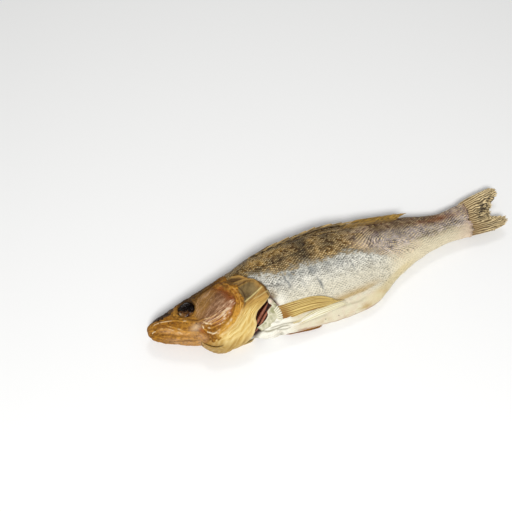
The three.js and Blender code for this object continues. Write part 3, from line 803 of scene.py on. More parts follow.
def makeTrunkMaterial():
    # scaled skin: silver scales on the flank and brown ones on the back, each with its own tone, painted
    # shade at its front where the scale ahead overlaps it and a painted highlight towards its rear, under the
    # stains, bars and bare parts that the masks place
    material, tree, shader, drying = newSkin("scaledSkin", 75.0, 760.0)
    tones = trunk["tones"]
    skinMap = addNode(tree, "UVMap", {"uv_map": "skinMap"}).outputs[0]
    mottle = useGroup(tree, unevenDrying, Patch_Scale=190.0, Grain_Scale=330.0)
    scales = useGroup(tree, fishScales, Map=skinMap)
    specks = useGroup(tree, darkSpecks, Scale=300.0, Share=0.05)
    own, rim = scales["Own Value"], scales["Rim"]
    dotted, rear = readValue(tree, "dotted"), readValue(tree, "rear")
    shine = times(tree, remap(tree, scales["Height"], 0.45, 0.8), remap(tree, own, 0.1, 0.95))

    # the silver flank, with a painted highlight towards each scale's rear, fine dark specks between the
    # scales and painted shade at their fronts
    shade = remap(tree, own, 0.0, 0.9, 0.35, 1.0)
    flank = blend(tree, shade, tones["silverShade"], tones["silver"])
    flank = layTints(tree, flank, tones, [("haze", 0.4, "haze")])
    # painted highlight towards each scale's rear
    flank = blend(tree, times(tree, shine, 0.85), flank, tones["white"])
    flank = layTints(tree, flank, tones, [("warm", 0.6, "warm")])
    # painted shade at each scale's front corner, with the fine dark grain of the skin
    front = times(tree, scales["Corner"], remap(tree, own, 0.0, 0.8, 1.0, 0.3))
    speckAndFrontShade = mathNode(tree, "MAXIMUM", front, remap(tree, drying["Grain"], 0.22, 0.44, 0.9, 0.0))
    flank = blend(tree, times(tree, speckAndFrontShade, dotted), flank, tones["silverSpeckAndShade"])
    flank = layTints(tree, flank, tones, [("streaks", 0.9, "blue")])

    # the brown back and the grey-brown stalk, with painted shade at each scale's front and a painted
    # highlight of each scale's own strength towards its rear
    back = blend(tree, drying["Cloud"], tones["backDark"], tones["back"])
    stalk = blend(tree, partOf(tree, "stalkTop", 0.92), tones["stalk"], tones["stalkTop"])
    back = blend(tree, rear, back, stalk)
    back = layTints(tree, back, tones, [("gold", 0.85, "gold")])
    back = blend(tree, remap(tree, mottle["Cloud"], 0.35, 0.9, 0.0, 0.5), back, tones["backDark"])
    uneven = mathNode(tree, "MULTIPLY_ADD", rear, -0.65, 1.0)
    darkScale = times(tree, remap(tree, own, 0.05, 0.5, 0.6, 0.0), uneven)
    back = blend(tree, darkScale, back, tones["backDark"])
    # painted shade at the front of each scale, where the scale ahead overlaps it
    gap = times(tree, rim, mathNode(tree, "MULTIPLY_ADD", own, -0.5, 1.2))
    back = blend(tree, gap, back, blend(tree, 0.85, back, tones["gap"]))
    # a painted highlight towards each scale's rear
    back = blend(tree, shine, back, tones["glint"])
    back = blend(tree, remap(tree, drying["Grain"], 0.2, 0.45, 0.5, 0.0), back, tones["gap"])
    # the dark stains with the painted shade along the back's top edge, then the bars
    back = layTints(tree, back, tones, [("dark", 0.7, "bar"), ("bars", 0.84, "bar")])
    # the painted highlight again, faint, over the bars
    back = blend(tree, times(tree, shine, 0.3), back, tones["glint"])

    # the brown gives way scale by scale, over a band of its own colour
    middle = blend(tree, rear, tones["middle"], tones["middleRear"])
    # painted shade at the scale fronts, with the fine dark specks
    middleFrontShadeAndSpecks = mathNode(tree, "MAXIMUM", times(tree, rim, 0.7), times(tree, speckAndFrontShade, 0.8))
    middle = blend(tree, middleFrontShadeAndSpecks, middle, tones["gap"])
    level = mathNode(tree, "MULTIPLY_ADD", own, 0.4, -0.2)
    onBack = remap(tree, mathNode(tree, "ADD", readValue(tree, "back"), level), 0.2, 0.8)
    between = times(tree, onBack, mathNode(tree, "SUBTRACT", 1.0, onBack))
    skin = blend(tree, onBack, flank, back)
    skin = blend(tree, times(tree, between, 2.8), skin, middle)

    # what lies over both
    belly = blend(tree, mottle["Cloud"], tones["belly"], tones["bellyPink"])
    skin = layTints(tree, skin, tones, [("cream", 0.75, "cream")])
    skin = blend(tree, partOf(tree, "belly", 0.9), skin, belly)
    skin = layTints(tree, skin, tones, [
        ("yellow", 0.4, "yellow"), ("breast", 0.9, "pale"), ("paleFold", 0.9, "white"),
        ("greyFold", 0.8, "fold"), ("crease", 0.75, "tan"), ("bareEnd", 0.45, "pink")])
    # the reddish patch, darker at the scale fronts as painted shade
    reddish = blend(tree, rim, tones["amber"], tones["bar"])
    skin = blend(tree, partOf(tree, "reddish", 0.7), skin, reddish)
    skin = layTints(tree, skin, tones, [
        ("lines", 0.6, "bar"), ("backLine", 0.85, "bar"), ("finGap", 0.85, "rust")])
    # painted shade at the front corners of the scales, over the whole skin
    scaleCornerShade = times(tree, scales["Corner"], times(tree, dotted, 0.5))
    skin = blend(tree, scaleCornerShade, skin, tones["gap"])
    # the side line's dots, darker at the scale fronts as painted shade
    sideRows = times(tree, partOf(tree, "side", 0.72), remap(tree, rim, 0.0, 0.4, 0.6, 1.0))
    skin = blend(tree, sideRows, skin, tones["bar"])
    # the gill chamber and slit in near-black: painted shade over the gills' own dark red
    skin = layTints(tree, skin, tones, [
        ("rearEdge", 0.35, "rust"), ("rustBelly", 0.7, "amber"), ("gill", 1.0, "gill")])
    skin = blend(tree, times(tree, specks["Speck"], 0.6), skin, tones["bar"])
    shader.inputs["Specular IOR Level"].default_value = trunk["gloss"]
    height = mathNode(tree, "ADD", times(tree, scales["Height"], dotted), times(tree, drying["Grain"], 0.6))
    finishSkin(tree, shader, skin, own, (0.25, 0.5), height, 0.8, 0.0006)
    return material


makeTrunk(makeTrunkMaterial())

# head
head = {
    "rows": 302, "columns": 324, "leftShare": 0.72,  # more of the columns lie on the left side
    "noseCrowding": 1.18,  # over 1 puts more rows near the snout
    "firstRow": 0.012,  # the share of the head's length where the first ring lies
    "capSteps": [(0.93, 2.0), (0.6, 6.0)],  # rings that close the rear: share of its size, how far forward
    "rearStep": 0.8, "coverRoom": 1.2,  # sinks into the trunk's skin; room for the cover under it
    "fibreHeight": 0.75, "fineHeight": 0.5,  # of the cheek's muscle
    "jawStreaks": 0.25, "jawHairs": 0.2, "crownFolds": 0.8, "jawGroove": 1.4,
    "dents": 1.3, "smallDents": 1.1, "gloss": 0.18,
    # raised folds of the dried skin: line, width, height, how much painted highlight the crest gets
    "ridges": [
        ([(17.8, -3.2), (23.4, -6.5), (29.6, -11.3), (34.7, -16)], 0.7, 0.6, 0.75),
        ([(10.7, -3.9), (19.4, -7.4), (25.7, -12), (31.8, -16.8)], 0.7, 0.5, 0.6),
        ([(14, -8.6), (22.6, -11.7), (31.4, -16.5), (38.9, -19.8)], 0.7, 0.4, 0.45),
        ([(5.3, 0.6), (9.6, 1.4), (15.4, 1.0), (21.6, -0.6), (28.8, -2.4), (35.3, -5.9),
          (42.8, -9.3)], 0.6, 0.9, 0.7),
        ([(3.9, -4.5), (6.2, -4), (8.4, -4.7)], 0.6, 0.9, 1.0),
        ([(10.3, -12.6), (16.6, -14.4), (25.4, -17.4), (35.7, -21.2), (48.1, -26.2)], 1.3, 0.6, 0.0),
        ([(48.8, -14.5), (50, -19.1), (52.5, -22.7), (55.4, -25.3), (60, -25.7),
          (65.2, -24.8)], 0.7, 1.1, 1.0),
        ([(49, -12.4), (53.2, -15.5), (58.1, -17.9), (64.8, -17.8), (72.5, -15.3),
          (77.2, -11.9)], 0.7, 0.7, 0.9),
        ([(52.1, -18.6), (57, -21), (63.6, -21.1), (70.1, -19.3), (76.7, -15.4)], 0.8, 0.9, 0.75),
        ([(45.9, -11.5), (51.7, -11.6), (59.2, -12.6), (66.6, -11.2)], 0.6, 0.5, 0.6),
        ([(50, -14), (56, -16.2), (62, -15.6), (69, -13.4), (74, -10.5)], 0.55, 0.5, 0.7),
        ([(79, 16), (82.1, 12.5), (86.5, 5.5), (89, -2.1), (88.4, -10.6), (84.1, -17.5),
          (78.5, -21.6)], 0.8, 0.9, 0.4),
        ([(83.5, 6.5), (85.6, -1), (85.2, -8.5), (81.4, -14.8), (75, -19)], 0.5, 0.5, 0.35),
        ([(84.8, -9.5), (81.4, -16), (74, -21.6), (66, -25.4), (56.8, -27.2)], 1.5, 0.9, 0.6),
    ],
    # sunk lines: line, width, depth, how much painted shade they get
    "valleys": [
        ([(6.5, 0.3), (8.6, -2.9), (5.6, -4.1), (1.7, -4.5)], 0.8, 0.7, 0.6),
        ([(-2.1, -0.5), (0.9, -4.8), (9, -8.7), (19.4, -12.6), (29.4, -17.2), (37.9, -20.4),
          (46.9, -24.4)], 0.7, 0.9, 0.3),
        ([(4, -9.6), (7.4, -12.4), (14.1, -15.4), (20.8, -18.2), (27.8, -21.1), (34.7, -23.5),
          (44.9, -27.2)], 0.7, 0.7, 0.7),
        ([(29.5, 13.1), (27.6, 8.7), (26.9, 3.9), (28.8, -0.3), (33.9, -4), (40.1, -5.9),
          (46.1, -5.3)], 0.7, 0.6, 0.5),
        ([(38.9, -6.6), (43.8, -9.3), (48.2, -10.4), (53.1, -10.3)], 0.7, 0.5, 0.55),
        ([(72, 20), (78.7, 14.4), (82.8, 6.1), (84.4, -3.2), (83.2, -9.5), (79.1, -15.4),
          (71.7, -19.6)], 1.1, 0.7, 0.35),
        ([(66, 18.6), (70.4, 19.6), (76.6, 17.1), (82.4, 13.4), (86.4, 10.9), (92, 10)], 1.8, 0.8, 0.75),
        ([(48.5, 7.9), (55, 11.8), (62.9, 15.3), (70.6, 18.2), (80, 21)], 0.9, 0.8, 0.7),
        ([(86.5, -7), (83.5, -14), (78, -19), (70, -23.4), (60, -26.4)], 0.5, 0.5, 0.3),
        ([(44, 10), (52, 16), (62, 19.5)], 0.6, 0.5, 0.5),
    ],
    # lower edge of the dark skin of the snout and skull
    "darkBelow": [
        (0, 2.0), (4, 3.0), (9, 4.2), (14.5, 4.0), (20, 3.6), (24.5, 4.6), (28, 8.5), (31, 10.5), (36, 12.6),
        (44, 12), (49, 11), (54, 15), (62, 19), (80, 26), (100, 33),
    ],
    "preopercle": [
        (76, 15), (81, 11.5), (86.6, 4.3), (87.8, -4.6), (86.6, -11.2), (81.6, -18), (73.6, -24.4),
        (65, -27.7), (57, -29.2),
    ],
    "cheek": {"x": 65, "y": -3.4, "halfLength": 21.0, "halfHeight": 18.8, "swell": 1.5,
              "fanX": 29, "fanY": -22},
    "eye": {"x": 40.4, "y": 5.0, "rim": 9.4, "sunk": 3.4},
    "nostrils": [(17.2, 4.4, 0.9), (13.4, 4.2, 0.65)],
    "pores": [
        (21.3, -2.4), (24.5, -3.6), (45, -12.1), (43.7, -28.4), (36.5, -9), (30, -24.5), (14, 0.6),
        (52, -28.6),
    ],
    "orangeSpot": (47.6, -19.4), "pinkSpot": (43.6, -15.6),
    "tones": {
        # fold is the colour of the painted highlights and glints; the sunk lines' colour is painted shade;
        # the cheek's crest colour is a painted highlight, its deep colour both its dark grain and painted
        # shade
        "skin": "75440a", "skinPale": "9a6412", "amber": "5e360c", "snout": "33200c", "snoutPale": "7c5722",
        "crown": "3a280c", "crownPale": "8a6228", "cheek": "a2754f", "cheekGold": "aa7e34",
        "cheekDarkAndShade": "5a3a22", "cheekCrestHighlight": "d6ac88", "rust": "8e4818", "gold": "dd9f38",
        "goldDeep": "b87a2a", "jaw": "c4924e", "jawPink": "d6aa84", "pinkPatch": "e6cba8",
        "upperJaw": "7a4806", "orange": "b8601c", "fold": "f6e4c0", "orbit": "7c5824", "pore": "140c07",
        "valleyShade": "45260c", "yellow": "dfae4c",
    },
}

darkBelowAt = smoothLine(head["darkBelow"])


def cheekShare(x, y):
    # 0 at the middle of the cheek muscle, 1 at its rim
    part = head["cheek"]
    return np.hypot((x - part["x"]) / part["halfLength"], (y - part["y"]) / part["halfHeight"])


def cheekFibres(x, y, slow):
    # muscle fibres fan out from the jaw joint, so their crests follow the angle about it
    cheek = head["cheek"]
    angle = np.arctan2(y - cheek["fanY"], x - cheek["fanX"])
    reach = np.hypot(y - cheek["fanY"], x - cheek["fanX"])
    coarse = wrinkles(reach / 12, angle * 32 + 0.8 * slow, 61, 0.9)
    return coarse, wrinkles(reach / 5, angle * 70 + 4, 67, 0.7)


def headFeatures(x, y, degrees):
    # relief in millimetres and the finish masks, all from distances to lines and rings in the side view
    eye, cheek = head["eye"], head["cheek"]
    rolled = unrolled(x, degrees)
    slow, quick = clouds(x / 9, rolled / 7, 81) - 0.5, clouds(x / 3.6, rolled / 2.8, 85) - 0.5
    bentX, bentY = x + 1.0 * slow + 0.7 * quick, y + 1.1 * slow + 0.8 * quick
    ridge, crest = foldLines(bentX, bentY, head["ridges"])
    valley, shade = foldLines(bentX, bentY, head["valleys"])
    preAway, preShare, preSide = nearLine(bentX, bentY, head["preopercle"])
    share = cheekShare(x, y)
    inCheek = 1 - ramp(share + 0.3 * slow + 0.2 * quick, 0.78, 1.08)
    fibres, fine = cheekFibres(x, y, slow)
    rim = clamp(bell(share - 0.9 + 0.3 * slow, 0.3) * ramp(x - 0.3 * y, 58, 74))
    low = ramp(-y + 0.35 * (x - 60), 6, 16)  # the lower cheek, where the fibres show white
    # lengthwise streaks of the jaws, snout and skull
    slant = ramp(degrees, 8, 60)  # none at the back line, where both flanks meet
    flow = (rolled + 0.42 * x * slant + 4) / np.clip(1 - 0.01 * x, 0.4, 1)
    streaks = wrinkles(x / 18, flow / 2.4, 71, 0.5)
    hair = wrinkles(x / 11, flow / 1.15, 73, 0.4)
    jaws = 1 - ramp(x - 0.5 * y, 50, 62)
    skull = ramp(x, 30, 50) * (1 - inCheek) * ramp(y, -2, 6)
    crown = wrinkles(x / 6.5, (rolled - 0.36 * x * slant) / 2.4, 75, 1.2)
    glints = ramp(clouds(x / 3.6, y / 3.0, 77, 3), 0.42, 0.72)
    eyeAway = np.hypot(x - eye["x"], y - eye["y"]) - 1.2 * quick - 1.4 * slow
    lumpy = clouds(x / 5, rolled / 5, 87, 2)

    relief = cheek["swell"] * clamp(1 - share**2) ** 1.2
    fibreRelief = head["fibreHeight"] * (fibres - 0.35) + head["fineHeight"] * (fine - 0.35)
    relief = relief + inCheek * fibreRelief + ridge - valley
    relief = relief + (0.4 + 1.3 * lumpy) * bell(preAway - 1.6, 2.4)
    relief = relief - 0.9 * bell(preAway - 5, 1.6) * (preSide < 0)
    jawRelief = head["jawStreaks"] * (streaks - 0.35) + head["jawHairs"] * (hair - 0.35)
    relief = relief + jaws * jawRelief + head["crownFolds"] * skull * (crown - 0.35)
    relief = relief - eye["sunk"] * (1 - ramp(eyeAway, 6.5, eye["rim"]))
    relief = relief + 0.8 * bell(eyeAway - eye["rim"] - 1.0, 1.2)
    pits = np.zeros(np.shape(x))
    for px, py, size in head["nostrils"]:
        away = np.hypot(x - px, y - py)
        relief = relief - 1.1 * bell(away, size) + 0.35 * bell(away - 2.1 * size, 0.6 * size)
        pits = np.maximum(pits, bell(away, size))
    for px, py in head["pores"]:
        pits = np.maximum(pits, 0.9 * bell(np.hypot(x - px, y - py), 0.6))
    # the groove between the lower jaws, seen from below, and dents of the dried skin everywhere
    relief = relief - head["jawGroove"] * bell(degrees - 180, 7) * (1 - ramp(x, 44, 56)) * ramp(x, 5, 12)
    relief = relief + head["dents"] * slow + head["smallDents"] * quick * (1 - 0.5 * inCheek)

    fromDark = y - darkBelowAt(x) - 1.6 * slow - 2.2 * quick
    crownBrown = ramp(fromDark + 8 + 4 * slow, -2, 8) * ramp(x, 32, 52) * (1 - inCheek)
    # painted highlight on the crests of the cheek's fibres, stronger on the lower cheek and weaker at the rim
    # above it
    cheekCrestHighlight = inCheek * (0.75 * fibres + 0.45 * fine) * (0.75 + 0.6 * low) * (1 - 0.6 * rim * (1 - low))
    upperPale = bell(bentY + 0.365 * x + 10.2 + 0.12 * np.abs(x - 30), 3.2) * ramp(x, 8, 16)
    lowerPale = bell(bentY + 0.56 * x - 1.2, 2.8) * ramp(x, 6, 20)
    orangeX, orangeY = head["orangeSpot"]
    orange = bell(np.hypot((x - orangeX + 0.5 * (y - orangeY)) / 2.2, (y - orangeY) / 2.6), 1.0)
    pinkX, pinkY = head["pinkSpot"]
    masks = {
        "snoutDark": ramp(fromDark, -1.2, 1.8) * (0.25 + 0.75 * ramp(x - 0.4 * y, 0, 9)),
        "snoutStreak": ramp(fromDark, 0, 3) * streaks * (1 - ramp(x, 30, 36)),
        "crownBrown": crownBrown * (1 - 0.75 * ramp(x, 60, 86)),
        "crownCrest": clamp(skull * crown * 1.3),
        "cheekMask": inCheek,
        "cheekCrestHighlight": clamp(cheekCrestHighlight),
        # painted shade between the fine fibres
        "cheekDarkAndShade": clamp(inCheek * (1 - 1.6 * fine) * (0.9 - 0.4 * low)),
        "cheekGold": clamp(ramp(-x + 1.1 * y + 62 + 14 * slow, -8, 8) + ramp(y + 9 * slow, 4, 11)),
        "cheekRim": rim,
        "gold": clamp(bell(preAway - 1.0, 3.0) * (0.35 + 1.3 * lumpy)) * ramp(x, 60, 70),
        "yellowing": ramp(preShare, 0.4, 0.6) * (1 - ramp(preShare, 0.9, 1.02)) * bell(preAway, 4.5),
        # painted highlight on the ridges' crests, painted glints on them, and painted shade in the sunk lines
        "crest": crest, "glint": glints * clamp(crest * 1.7 - 0.5), "shade": shade,
        "streak": clamp(jaws * (0.7 * streaks + 0.5 * hair) * 1.25),
        "underStreak": clamp(jaws * (1 - 2.2 * streaks)),
        "jawPale": np.maximum(upperPale, lowerPale) * (1 - ramp(x, 42, 56)),
        "upperJaw": bell(bentY + 0.36 * x - 3.6, 4.5) * ramp(x, 7, 13) * (1 - ramp(x, 24, 38)),
        "pinkPatch": clamp(bell(np.hypot((bentX - pinkX) / 5, (bentY - pinkY) / 3.2), 1.0)),
        "orbit": bell(eyeAway - eye["rim"] - 2, 3.0) * ramp(6 - (x - 34) * 0.6 - 0.2 * y, 0, 5),
        # painted shade in the upper part of the sunk eye socket
        "socket": (1 - ramp(eyeAway, eye["rim"] - 1.2, eye["rim"] + 0.4)) * ramp(y - 0.4 * (x - 40), -1, 5),
        "orangeSpot": orange + 0.5 * bell(np.hypot((x - 80) / 5, (y + 15) / 5), 1.0),
        "pit": pits,
    }
    return relief, masks


def makeHead(material):
    # rings from the snout to the uneven rear edge, crowded towards the snout by a power of the share,
    # each point moved out by the relief; the last rings shrink and turn in under the trunk's skin
    left = int(head["columns"] * head["leftShare"])
    turns = np.concatenate([np.linspace(0, np.pi, left, endpoint=False),
                            np.linspace(np.pi, 2 * np.pi, head["columns"] - left, endpoint=False)])
    degrees = foldedDegrees(turns)[None, :]
    share = np.linspace(head["firstRow"], 1, head["rows"])[:, None] ** head["noseCrowding"]
    x = share * headEndAt(degrees)
    turn = np.broadcast_to(turns[None, :], x.shape)
    plain = skinPoint(x, turn)
    relief, masks = headFeatures(x, plain[..., 1], np.broadcast_to(degrees, x.shape))
    rearStep = ramp(share, 0.985, 1.0)
    relief = relief * (1 - rearStep) * ramp(x, 0.0, 2.5) - head["rearStep"] * rearStep
    rings = plain + normalsOf(plain, True) * relief[..., None] * outwardSign(plain)
    rings[..., 2] = np.maximum(rings[..., 2], head["coverRoom"] * ramp(x, 48, 62))
    middle = rings[-1].mean(0)
    inner = [middle + (rings[-1] - middle) * f - np.array([back, 0, 0]) for f, back in head["capSteps"]]
    rings = np.concatenate([rings, np.stack(inner)], 0)
    values = {key: np.concatenate([mask, mask[-1:], mask[-1:]], 0) for key, mask in masks.items()}
    makeTube("headSkin", rings, material, values)


def makeHeadMaterial():
    # waxy amber skin over bone: streaks of gold, golden painted highlights and glints on the folds' crests,
    # painted shade in the sunk lines and the eye socket, the brown skull and snout, and the cheek's muscle
    # fibres showing through, with painted highlights on their crests and painted shade between them
    material, tree, shader, drying = newSkin("headSkin", 160.0, 700.0)
    tones = head["tones"]
    crumple = useGroup(tree, unevenDrying, Patch_Scale=420.0, Grain_Scale=1300.0)
    specks = useGroup(tree, darkSpecks, Scale=260.0, Share=0.03)
    skin = blend(tree, drying["Cloud"], tones["skin"], tones["skinPale"])
    skin = blend(tree, remap(tree, drying["Grain"], 0.3, 0.7, 0.5, 0.0), skin, tones["amber"])
    skin = layTints(tree, skin, tones, [
        ("underStreak", 0.2, "amber"), ("orbit", 0.7, "orbit"), ("gold", 0.6, "goldDeep")])
    mottle = times(tree, partOf(tree, "gold", 0.7), remap(tree, crumple["Cloud"], 0.45, 0.9))
    skin = blend(tree, mottle, skin, tones["yellow"])
    skin = layTints(tree, skin, tones, [("yellowing", 0.75, "yellow")])
    jaw = blend(tree, drying["Cloud"], tones["jaw"], tones["jawPink"])
    skin = blend(tree, partOf(tree, "jawPale", 0.85), skin, jaw)
    skin = blend(tree, crestOf(tree, "streak", 0.4, 1.0, 0.45), skin, tones["gold"])
    skin = blend(tree, remap(tree, crumple["Cloud"], 0.5, 0.9, 0.0, 0.45), skin, tones["gold"])
    skin = blend(tree, remap(tree, crumple["Cloud"], 0.1, 0.5, 0.45, 0.0), skin, tones["amber"])
    skin = layTints(tree, skin, tones, [("upperJaw", 0.5, "upperJaw"), ("pinkPatch", 0.6, "pinkPatch")])

    cheek = blend(tree, drying["Grain"], tones["cheekDarkAndShade"], tones["cheek"])
    # gold and rust of its own, and painted shade between the fibres
    cheek = layTints(tree, cheek, tones, [
        ("cheekGold", 0.55, "cheekGold"), ("cheekRim", 0.9, "rust"), ("cheekDarkAndShade", 0.45, "cheekDarkAndShade")])
    # painted highlights on the fibre crests, whitest at their tops
    cheek = blend(tree, crestOf(tree, "cheekCrestHighlight", 0.4, 0.95, 0.7), cheek, tones["cheekCrestHighlight"])
    cheek = blend(tree, crestOf(tree, "cheekCrestHighlight", 0.9, 1.0, 0.5), cheek, tones["fold"])
    skin = blend(tree, readValue(tree, "cheekMask"), skin, cheek)

    skin = layTints(tree, skin, tones, [("crownBrown", 0.9, "crown"), ("snoutDark", 1.0, "snout")])
    skin = blend(tree, crestOf(tree, "crownCrest", 0.35, 0.95, 0.5), skin, tones["crownPale"])
    skin = blend(tree, crestOf(tree, "snoutStreak", 0.4, 0.9, 0.6), skin, tones["snoutPale"])
    # painted shade in the sunk lines, golden painted highlights and glints on the crests, and painted shade
    # in the eye socket
    skin = layTints(tree, skin, tones, [
        ("orangeSpot", 0.45, "orange"), ("shade", 0.8, "valleyShade"), ("crest", 0.7, "gold"), ("glint", 0.9, "fold"),
        ("socket", 0.9, "snout")])
    dots = mathNode(tree, "MAXIMUM", readValue(tree, "pit"), times(tree, specks["Speck"], 0.6))
    skin = blend(tree, dots, skin, tones["pore"])
    shader.inputs["Specular IOR Level"].default_value = head["gloss"]
    shader.inputs["Coat Roughness"].default_value = 0.15
    tree.links.new(crestOf(tree, "crest", 0.2, 0.8, 0.2), shader.inputs["Coat Weight"])
    height = mathNode(tree, "ADD", drying["Grain"], times(tree, drying["Cloud"], 0.8))
    finishSkin(tree, shader, skin, drying["Grain"], (0.3, 0.5), height, 0.8, 0.0008)
    return material


makeHead(makeHeadMaterial())

# gill covers
cover = {
    "from": 60, "to": 192, "rows": 230, "columns": 170,
    "thickness": 0.9, "lift": 3.8, "rightLift": 1.3, "throatDrop": 6.0,
    "clearance": 0.35,  # least height over the head's skin
    "rightRelief": 0.4, "rightRoot": 2.5,  # the right one is pressed flat, its front edge in the head
    "root": [(60, 76), (78, 87), (106, 89), (128, 76), (151, 57), (170, 48), (192, 44)],
    "edge": [
        (60, 92), (76, 101), (84, 107.5), (94, 112.8), (101, 114.8), (108, 114.4), (112, 110.5), (117, 104.2),
        (122, 99.4), (127, 97), (137, 95.6), (146, 92.6), (164, 85), (180, 74), (192, 66),
    ],
    "topLine": [(84, 9), (88.6, 6.2), (101.6, 6.6), (108.5, 2.6), (113, -3.9), (114.5, -11.9)],
    "struts": [
        ([(92.6, -10.5), (101, -7.6), (110.5, -4.2)], 1.0), ([(101, -10.8), (109, -9.6), (115, -8.6)], 0.5),
    ],
    # bright folds over the top of the cover: line, width, height, strength
    "strips": [
        ([(78.7, 20.7), (87.2, 19), (94.6, 14.7), (101.6, 9.4)], 1.0, 0.8, 0.8),
        ([(79.9, 15), (87.7, 14.7), (95.4, 11.4), (100, 8.6)], 0.8, 0.7, 0.7),
        ([(87.2, 9.5), (94, 8.6), (99.7, 7.6), (106, 4.4), (110, 0)], 0.6, 0.6, 0.6),
    ],
    # long soft folds of the membrane below the cover, their crests given a painted highlight
    "membraneFolds": [
        ([(89.4, -13.6), (84.5, -19), (77.3, -24.4), (68.7, -28.1), (57.7, -29.4)], 1.3, 0.8, 0.85),
        ([(97, -14.5), (93.5, -18.5), (88.8, -23), (80, -28.6), (70.4, -31.4),
          (59.7, -31.5)], 1.4, 0.9, 0.85),
        ([(92.5, -14), (90.3, -17.6), (86.4, -21.4), (78.6, -26.8), (69.4, -29.9)], 0.8, 0.6, 0.7),
        ([(98.6, -20), (92.8, -25.6), (83, -30.8), (72, -33)], 0.7, 0.6, 0.7),
        ([(96.9, -22.1), (90, -27.6), (80.7, -32), (70.3, -33.9), (59.1, -32.8)], 1.2, 0.9, 0.7),
        ([(95.6, -27.4), (88, -32.4), (78, -36.2), (68, -37.2)], 1.0, 0.7, 0.5),
    ],
    "ringSpot": (95.6, -6.3),
    "fanX": 84, "fanY": -17,  # the streaks of the cover spread from here
    "membraneRays": 7.5,
    "tones": {
        # the ray crest colour is the painted highlight on the membrane's crests
        "skin": "7a5420", "pale": "a87e3a", "crest": "c49a50", "cream": "d8b462", "rayCrest": "f4e09c",
        "patch": "8e7a4e", "patchDark": "5a482a", "brown": "3c260e", "gold": "8c6226", "orange": "b8782a",
        "edge": "d8c088", "strut": "e4d290", "line": "40240d",
    },
}
coverRoot = smoothLine(cover["root"])
coverEdge = smoothLine(cover["edge"])


def coverFeatures(x, y, degrees, share):
    # relief in millimetres and the finish masks: streaks follow the angle about a point on the bone,
    # rays follow the edge on the membrane, folds and struts are distances to their lines
    bone, membrane = 1 - ramp(degrees, 118, 136), ramp(degrees, 103, 120)
    angle = np.arctan2(y - cover["fanY"], x - cover["fanX"])
    reach = np.hypot(y - cover["fanY"], x - cover["fanX"])
    streaks = wrinkles(reach / 14, angle * 20, 95, 0.6)
    nape = wrinkles(x / 10, (y + 0.35 * x) / 2.2, 96, 0.7)
    strips, stripTint = foldLines(x, y, cover["strips"])
    rayShare = share * cover["membraneRays"] + 1.6 * (clouds(degrees / 16, share * 3, 97) - 0.5)
    rays = np.abs(np.cos(np.pi * rayShare)) ** 1.5 * (0.55 + 0.9 * clouds(degrees / 9, share * 4, 98))
    bend = clouds(x / 14, y / 14, 107, 1) - 0.5
    folds, foldTint = foldLines(x + bend, y + bend, cover["membraneFolds"])
    crumple = wrinkles(share * 6, degrees / 26, 99, 0.5)
    ridge = np.zeros_like(x)
    for line, strength in cover["struts"]:
        ridge = np.maximum(ridge, strength * bell(nearLine(x, y, line)[0], 0.55))
    topAway, _, topSide = nearLine(x, y, cover["topLine"])
    top = ramp(topSide * topAway, 0.3, 2.5)
    ring = np.hypot(x - cover["ringSpot"][0], y - cover["ringSpot"][1])

    relief = 0.55 * bone * (streaks - 0.35) + 0.6 * bone * top * (nape - 0.35)
    relief = relief + 0.4 * membrane * (rays - 0.5) * ramp(share, 0.04, 0.2) + folds
    relief = relief + 0.4 * membrane * (crumple - 0.35) + ridge + strips
    relief = relief - 0.9 * bell(topAway, 0.9) + 0.4 * bell(ring - 1.8, 0.8) - 0.7 * bell(ring, 0.9)
    relief = relief + 0.9 * (clouds(x / 10, y / 8, 101) - 0.5) * ramp(share, 0.0, 0.2)
    relief = relief + 0.8 * bell(share - 0.97, 0.05) * (clouds(degrees / 4, 0 * degrees, 103) - 0.3)

    sway = clouds(x / 6, y / 6, 105) - 0.5
    patch = ramp(-topSide * topAway, 0.5, 3.0) * ramp(y + 12.5 - 0.33 * (x - 90), -1.5, 2.5) * ramp(x, 87, 91)
    edge = bell(1 - share, 0.04 + 0.04 * sway) * ramp(degrees, 99, 108)
    edge = edge + 0.8 * bell(1 - share, 0.14) * ramp(degrees, 106, 120)
    rootLine = bell(share - 0.13 - 0.04 * sway, 0.035) * ramp(degrees, 66, 76)
    masks = {
        "streak": clamp(bone * streaks * 1.3),
        "membrane": membrane,
        # painted highlight on the crests of the membrane's rays, folds and crumples, and painted shade
        # between them
        "ray": clamp(np.maximum(membrane * (0.4 * rays + 0.3 * crumple), 0.85 * foldTint)),
        "between": clamp(membrane * (1 - 2.4 * crumple) * (1 - foldTint)),
        "front": bell(share, 0.22),
        "patch": clamp(patch * (1 - ramp(x + 6 * sway, 104, 110))),
        "ring": bell(ring - 1.6, 0.9),
        "rootLine": rootLine * (1 - ramp(degrees, 106, 118)),
        "top": top, "topLine": bell(topAway, 1.2), "napeCrest": nape,
        "strip": stripTint, "ridge": ridge, "edge": clamp(edge),
        # painted shade on the underside of the throat
        "throatUnderShade": ramp(degrees, 150, 176),
    }
    return relief, masks


